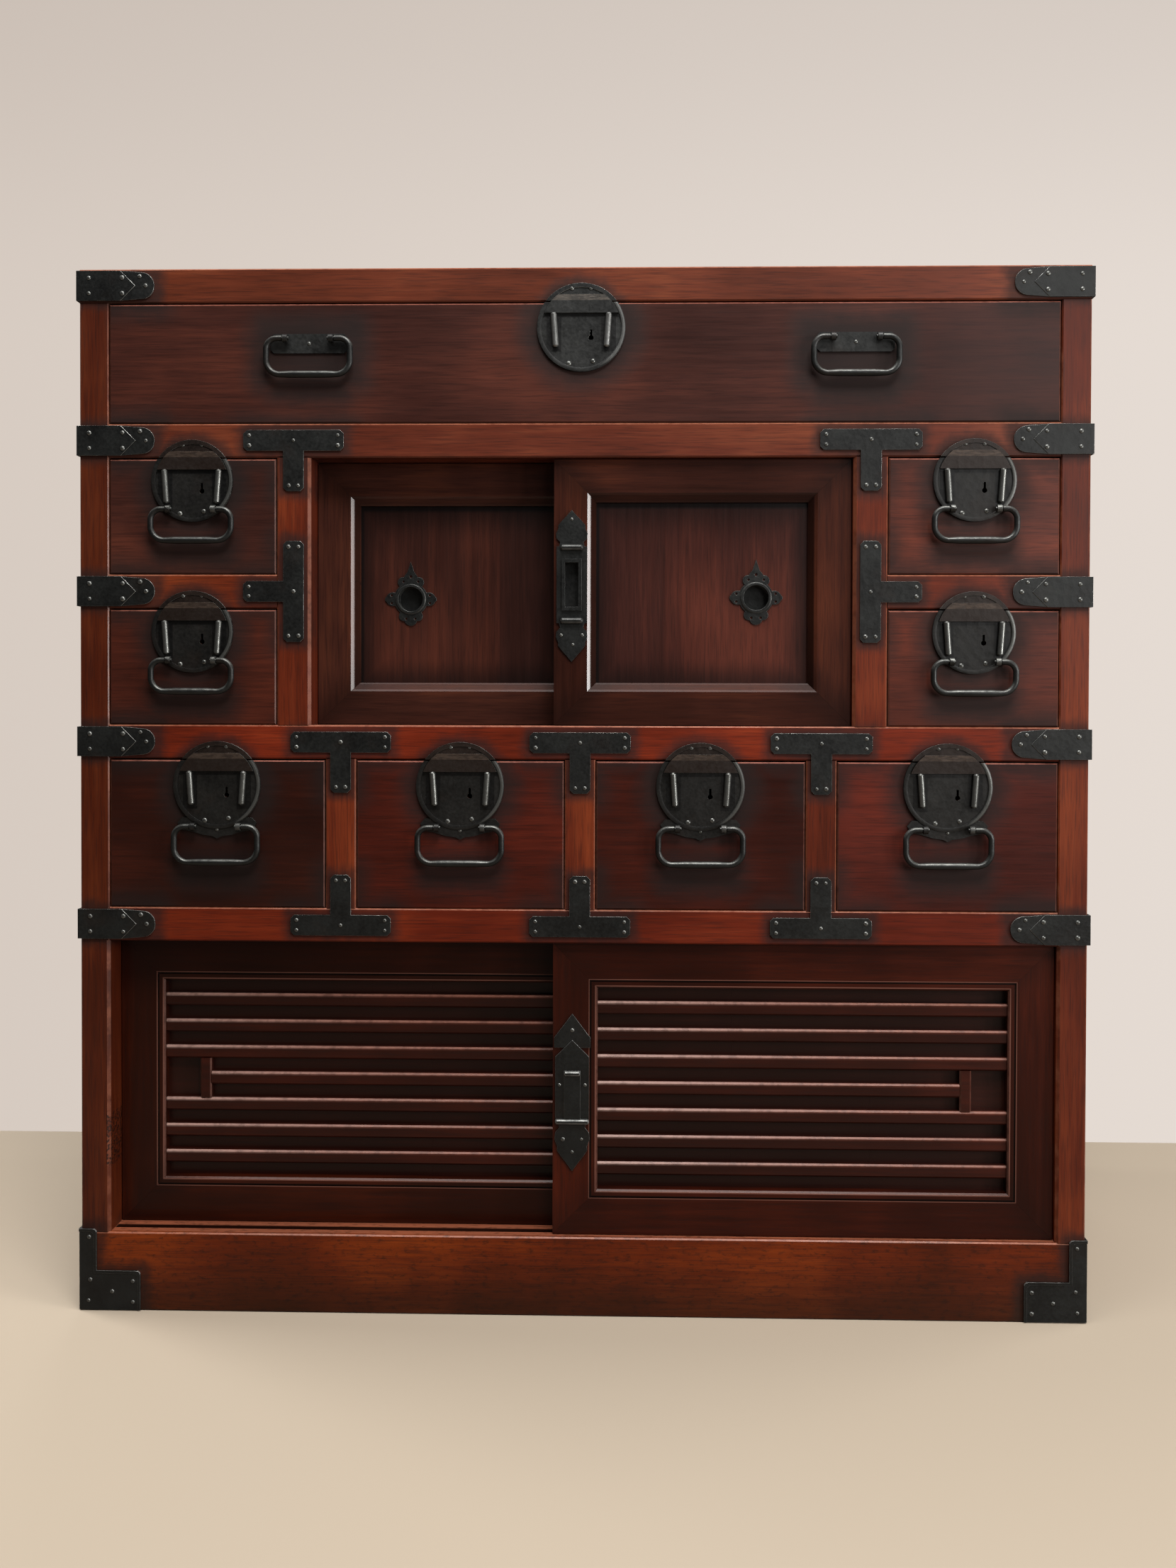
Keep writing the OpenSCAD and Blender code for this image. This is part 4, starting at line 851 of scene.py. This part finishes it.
def nailTree():
    # a dome on each point, turned to the point's facing and scaled by its size and by a small chance
    tree = bpy.data.node_groups.new("nailHeads", "GeometryNodeTree")
    face = tree.interface
    face.new_socket("Points", in_out="INPUT", socket_type="NodeSocketGeometry")
    kinds = {"Head Radius": "Float", "Head Height": "Float", "Spread": "Float", "Seed": "Int",
             "Iron": "Material"}
    names = {}
    for name, kind in kinds.items():
        names[name] = face.new_socket(name, in_out="INPUT", socket_type="NodeSocket" + kind).identifier
    face.new_socket("Heads", in_out="OUTPUT", socket_type="NodeSocketGeometry")

    def add(kind, settings=None, sockets=None):
        return addNode(tree, kind, settings, sockets)

    def written(name, kind):
        # an attribute of the points
        node = add("GeometryNodeInputNamedAttribute", {"data_type": kind}, {"Name": name})
        return node.outputs["Attribute"]

    given = add("NodeGroupInput").outputs
    ball = add("GeometryNodeMeshUVSphere", None, {**ballFaces, "Radius": given["Head Radius"]})
    low = add("ShaderNodeCombineXYZ", None, {0: 1.0, 1: 1.0, 2: given["Head Height"]})
    dome = add("GeometryNodeTransform", None, {"Geometry": ball.outputs["Mesh"], "Scale": low.outputs[0]})
    facing = written("facing", "FLOAT_VECTOR")
    turn = add("FunctionNodeAlignRotationToVector", {"axis": "Z"}, {"Vector": facing})
    least = add("ShaderNodeMath", {"operation": "SUBTRACT"}, {0: 1.0, 1: given["Spread"]})
    most = add("ShaderNodeMath", {"operation": "ADD"}, {0: 1.0, 1: given["Spread"]})
    between = {2: least.outputs[0], 3: most.outputs[0], "Seed": given["Seed"]}
    chance = add("FunctionNodeRandomValue", {"data_type": "FLOAT"}, between)
    sizes = {0: chance.outputs[1], 1: written("size", "FLOAT")}
    scale = add("ShaderNodeMath", {"operation": "MULTIPLY"}, sizes)
    lay = add("GeometryNodeInstanceOnPoints", None, {
        "Points": given["Points"], "Instance": dome.outputs["Geometry"],
        "Rotation": turn.outputs["Rotation"], "Scale": scale.outputs[0]})
    real = add("GeometryNodeRealizeInstances", None, {"Geometry": lay.outputs["Instances"]})
    smooth = add("GeometryNodeSetShadeSmooth", None, {"Geometry": real.outputs["Geometry"]})
    clad = add("GeometryNodeSetMaterial", None, {"Geometry": smooth.outputs["Geometry"],
                                                "Material": given["Iron"]})
    add("NodeGroupOutput", None, {0: clad.outputs["Geometry"]})
    return tree, names


# where the nails go: right and up from the middle of a plate, or in from the chest's edge and up
nailPlaces = {
    "hood": (8, -4.5), "lockFoot": (10.3, 8), "rowPlate": -38.3, "backPlate": -3.4,
    "strap": ((8.8, 6.5), (8.8, -6.5), (37.5, 6.7), (37.5, -6.7)),
    "strapTip": ((57.5, 0), (52.5, 8)),
    "foot": ((7, 64), (8, 27), (27, 17), (45, 26), (45, 8), (6.5, 9)),
    "tee": ((-38, 4.3), (-38, -4.3), (38, 4.3), (38, -4.3), (0, 0), (-4, -38.5), (4, -38.5)),
    "upperLatch": ((9, -43), (-9, -43), (1, -51), (0, 56)),
    "lowerLatch": ((0, 53), (11, 6), (-11, 6), (8, -41), (-8, -41), (0, -52)),
}
headSizes = {"hood": 0.85, "lockFoot": 1.0, "rowPlate": 0.8, "backPlate": 0.9, "strap": 0.95, "strapTip": 0.9,
             "foot": 0.85, "tee": 0.85, "upperLatch": 0.75, "lowerLatch": 0.8, "sideLeaf": 0.9}
# how deep the iron's faces lie, negative in front of the boards; a latch plate's wings stand out a little
faces = {"plate": -1.5, "strap": -2.1, "latch": 5.0, "wing": 4.2, "sideLeaf": 1.5}
latchRise = {"upper_latch_plate": 65.75, "lower_latch_plate": 68.5}      # from its foot to between its bars
nails = {}              # body: list of (place, facing, size)


def nail(kind, body, x, z, depth=faces["plate"], facing=(0, -1, 0)):
    place = Vector((x / 1000, frontY + depth / 1000, z / 1000))
    nails.setdefault(body, []).append((place, facing, headSizes[kind]))


def lockNails():
    hoodX, hoodZ = nailPlaces["hood"]
    footX, footZ = nailPlaces["lockFoot"]
    for drawer in drawers:
        middle, z, r = lockOf[drawer]
        for s in (-1, 1):
            nail("hood", carcass, middle + s * hoodX, z + r + hoodZ)
            # driven by hand: the right one a little higher, and both a little to the left
            nail("lockFoot", drawer, middle + s * footX - 0.3, z - r + footZ + s)
        if drawer.startswith("row"):
            nail("rowPlate", drawer, middle, z + nailPlaces["rowPlate"])


def edgeNails(s):
    # one side of the chest: the wide drawer's back plate, the straps and the corner plate at the foot
    plateZ = ironPlan["topPivotZ"] + nailPlaces["backPlate"]
    nail("backPlate", "top_drawer", s * ironPlan["bailX"], plateZ)
    for z in ironPlan["railZ"].values():
        for dx, dz in nailPlaces["strap"]:
            nail("strap", carcass, s * (edgeX - dx), z + dz, faces["strap"])
        for dx, dz in nailPlaces["strapTip"]:
            nail("strapTip", carcass, s * (edgeX - dx), z + dz)
    for dx, z in nailPlaces["foot"]:
        nail("foot", carcass, s * (edgeX - dx), z)


def teeNails():
    for cx, cz, (right, up) in tees():
        for dx, dz in nailPlaces["tee"]:
            # set out for a leg that points down, and turned with the leg
            nail("tee", carcass, cx - dx * up - dz * right, cz + dx * right - dz * up)


def latchNails(kind, plate, door):
    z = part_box(plate)[0].z * 1000 + latchRise[plate]
    for dx, dz in nailPlaces[kind]:
        face = faces["wing" if dz == 6 else "latch"]
        nail(kind, door, middleX(plate) + dx, z + dz, face)


def sideNails(s):
    # the straps' and the corner plate's leaves on the chest's side, with flat heads
    places = [(back, z + dz) for z in ironPlan["railZ"].values() for back, dz in nailPlaces["strapTip"]]
    for back, z in places + list(nailPlaces["foot"][:5]):
        nail("sideLeaf", "flat", s * (edgeX + faces["sideLeaf"]), z, back, (s, 0, 0))


lockNails()
for s in (-1, 1):
    edgeNails(s)
teeNails()
latchNails("upperLatch", "upper_latch_plate", "upper_right_door")
latchNails("lowerLatch", "lower_latch_plate", "lower_right_door")
for s in (-1, 1):
    sideNails(s)

tree, inputs = nailTree()
for group, places in nails.items():
    mesh = bpy.data.meshes.new(group + "Nails")
    mesh.from_pydata([tuple(place) for place, _, _ in places], [], [])
    mesh.attributes.new("facing", "FLOAT_VECTOR", "POINT")
    mesh.attributes.new("size", "FLOAT", "POINT")
    for i, (_, facing, size) in enumerate(places):
        mesh.attributes["facing"].data[i].vector = facing
        mesh.attributes["size"].data[i].value = size
    piece = setOut(group + "_nails", mesh)
    heads = piece.modifiers.new("heads", "NODES")
    heads.node_group = tree
    for name, value in nailHead.items():
        heads[inputs[name]] = value
    if group == "flat":
        heads[inputs["Head Height"]] = flatHeight
    bpy.context.view_layer.update()
    graph = bpy.context.evaluated_depsgraph_get()
    made = bpy.data.meshes.new_from_object(piece.evaluated_get(graph))
    piece.modifiers.remove(heads)
    piece.data = made
    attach(piece, carcass if group == "flat" else group)
print("nails driven:", sum(len(places) for places in nails.values()))


# floor, backdrop, light and camera

stagePlan = {
    "floor": "#afa18f", "floorCloud": "#a89d90", "floorBounce": "#7a6f63", "floorSize": 12.0,
    "wallLeft": "#d5c9bf", "wallRight": "#e6dcd4", "wallHigh": "#a89b90", "wallY": 0.303,
    "lampTone": (1.0, 0.985, 0.965), "roomGlow": 0.06,
}


def sheetOf(name, corners, material):
    mesh = bpy.data.meshes.new(name)
    mesh.from_pydata(corners, [], [(0, 1, 2, 3)])
    mesh.materials.append(material)
    piece = setOut(name, mesh)
    return piece


def floorFinish():
    f = Finish("paleFloor")
    cloud = f.noise(f.point(*f.place()), 1.2, 3.0, 0.5)
    pale = f.tint(cloud.step(0.3, 0.7) * 0.12, hue(stagePlan["floor"]), hue(stagePlan["floorCloud"]))
    # pale where it is seen, darker where it throws light back at the chest
    seen = f.add("ShaderNodeLightPath").outputs["Is Camera Ray"]
    return f.close(colour=f.tint(seen, hue(stagePlan["floorBounce"]), pale), rough=0.7, shine=0.2)


def wallFinish():
    # a plain backdrop that keeps its tone whatever stands before it, and can't be seen from behind
    f = Finish("paleWall")
    x, _, z = f.place()
    # painted light on the glowing backdrop: brighter to the right, darker high up
    litFromRight = (x * 0.8 + z * 0.1).step(-0.9, 0.9)
    tone = f.tint(litFromRight, hue(stagePlan["wallLeft"]), hue(stagePlan["wallRight"]))
    tone = f.tint(z.step(0.95, 1.45) * 0.3, tone, hue(stagePlan["wallHigh"]))
    paint = f.add("ShaderNodeEmission", None, {"Color": tone, "Strength": 1.0})
    clear = f.add("ShaderNodeBsdfTransparent")
    back = f.add("ShaderNodeNewGeometry").outputs["Backfacing"]
    both = f.add("ShaderNodeMixShader", None, {0: back, 1: paint.outputs[0], 2: clear.outputs[0]})
    f.add("ShaderNodeOutputMaterial", None, {0: both.outputs[0]})
    return f.material


half = stagePlan["floorSize"] / 2
wallY = stagePlan["wallY"]
sheetOf("floor", [(-half, -half, 0), (half, -half, 0), (half, half, 0), (-half, half, 0)], floorFinish())
wall = sheetOf("wall", [(-half, wallY, 0), (half, wallY, 0), (half, wallY, half), (-half, wallY, half)],
               wallFinish())
wall.visible_shadow = wall.visible_diffuse = wall.visible_glossy = False

world = bpy.data.worlds.new("studio")
bpy.context.scene.world = world
world.use_nodes = True
room = world.node_tree.nodes["Background"].inputs
room[0].default_value = (*stagePlan["lampTone"], 1.0)
room[1].default_value = stagePlan["roomGlow"]

# name: place, what it looks at, width, height, power
lamps = {
    "keyLamp": ((0.4, -1.75, 2.85), (0, -0.2, 0.62), 1.3, 0.7, 62),
    "topLamp": ((0.1, -0.75, 2.7), (0, -0.25, 0.3), 2.4, 0.9, 38),
    "sideLamp": ((2.0, -1.1, 0.72), (0, -0.2, 0.62), 0.28, 0.7, 20),
    "stripLamp": ((1.8, -1.5, 0.72), (0, -0.2, 0.62), 0.25, 0.7, 9),
    "floorLampLeft": ((-1.2, 0.12, 1.5), (-0.8, 0.1, 0), 0.5, 0.35, 18),
    "floorLampRight": ((1.2, 0.12, 1.5), (0.8, 0.1, 0), 0.5, 0.35, 6),
    "backLamp": ((-0.5, 2.5, 1.5), (0, 0, 0.45), 1.4, 1.0, 14),
    "panelLamp": ((1.55, -2.7, 1.35), (0, -0.2, 0.6), 1.4, 1.6, 15),
}
for name, (place, target, width, height, power) in lamps.items():
    light = bpy.data.lights.new(name, "AREA")
    light.shape = "RECTANGLE"
    light.size, light.size_y = width, height
    light.energy = power
    light.color = stagePlan["lampTone"]
    piece = setOut(name, light)
    piece.location = place
    piece.rotation_euler = (Vector(target) - Vector(place)).to_track_quat("-Z", "Y").to_euler()

# turns are in degrees; focal and shift are in pixels of a picture of that height
cameraPlan = {"place": (0.037, -1.408, 0.526), "yaw": -1.44, "pitch": -0.83, "roll": 0.158, "focal": 2000.0,
              "shift": -85.2, "pictureHeight": 2212, "sensor": 36, "near": 0.05, "far": 60}


def setCamera(plan):
    yaw, pitch, roll = (math.radians(plan[k]) for k in ("yaw", "pitch", "roll"))
    ahead = Vector((math.sin(yaw) * math.cos(pitch), math.cos(yaw) * math.cos(pitch), math.sin(pitch)))
    right = Vector((math.cos(yaw), -math.sin(yaw), 0))
    up = right.cross(ahead)
    side = right * math.cos(roll) + up * math.sin(roll)
    rise = up * math.cos(roll) - right * math.sin(roll)
    data = bpy.data.cameras.new("camera")
    data.sensor_width = plan["sensor"]
    data.lens = plan["focal"] * plan["sensor"] / plan["pictureHeight"]
    data.shift_y = plan["shift"] / plan["pictureHeight"]
    data.clip_start, data.clip_end = plan["near"], plan["far"]
    piece = setOut("camera", data)
    turn = Matrix((side, rise, -ahead)).transposed()
    piece.matrix_world = Matrix.Translation(plan["place"]) @ turn.to_4x4()
    bpy.context.scene.camera = piece


setCamera(cameraPlan)
bpy.context.scene.view_settings.view_transform = "Standard"
print("light and camera set")
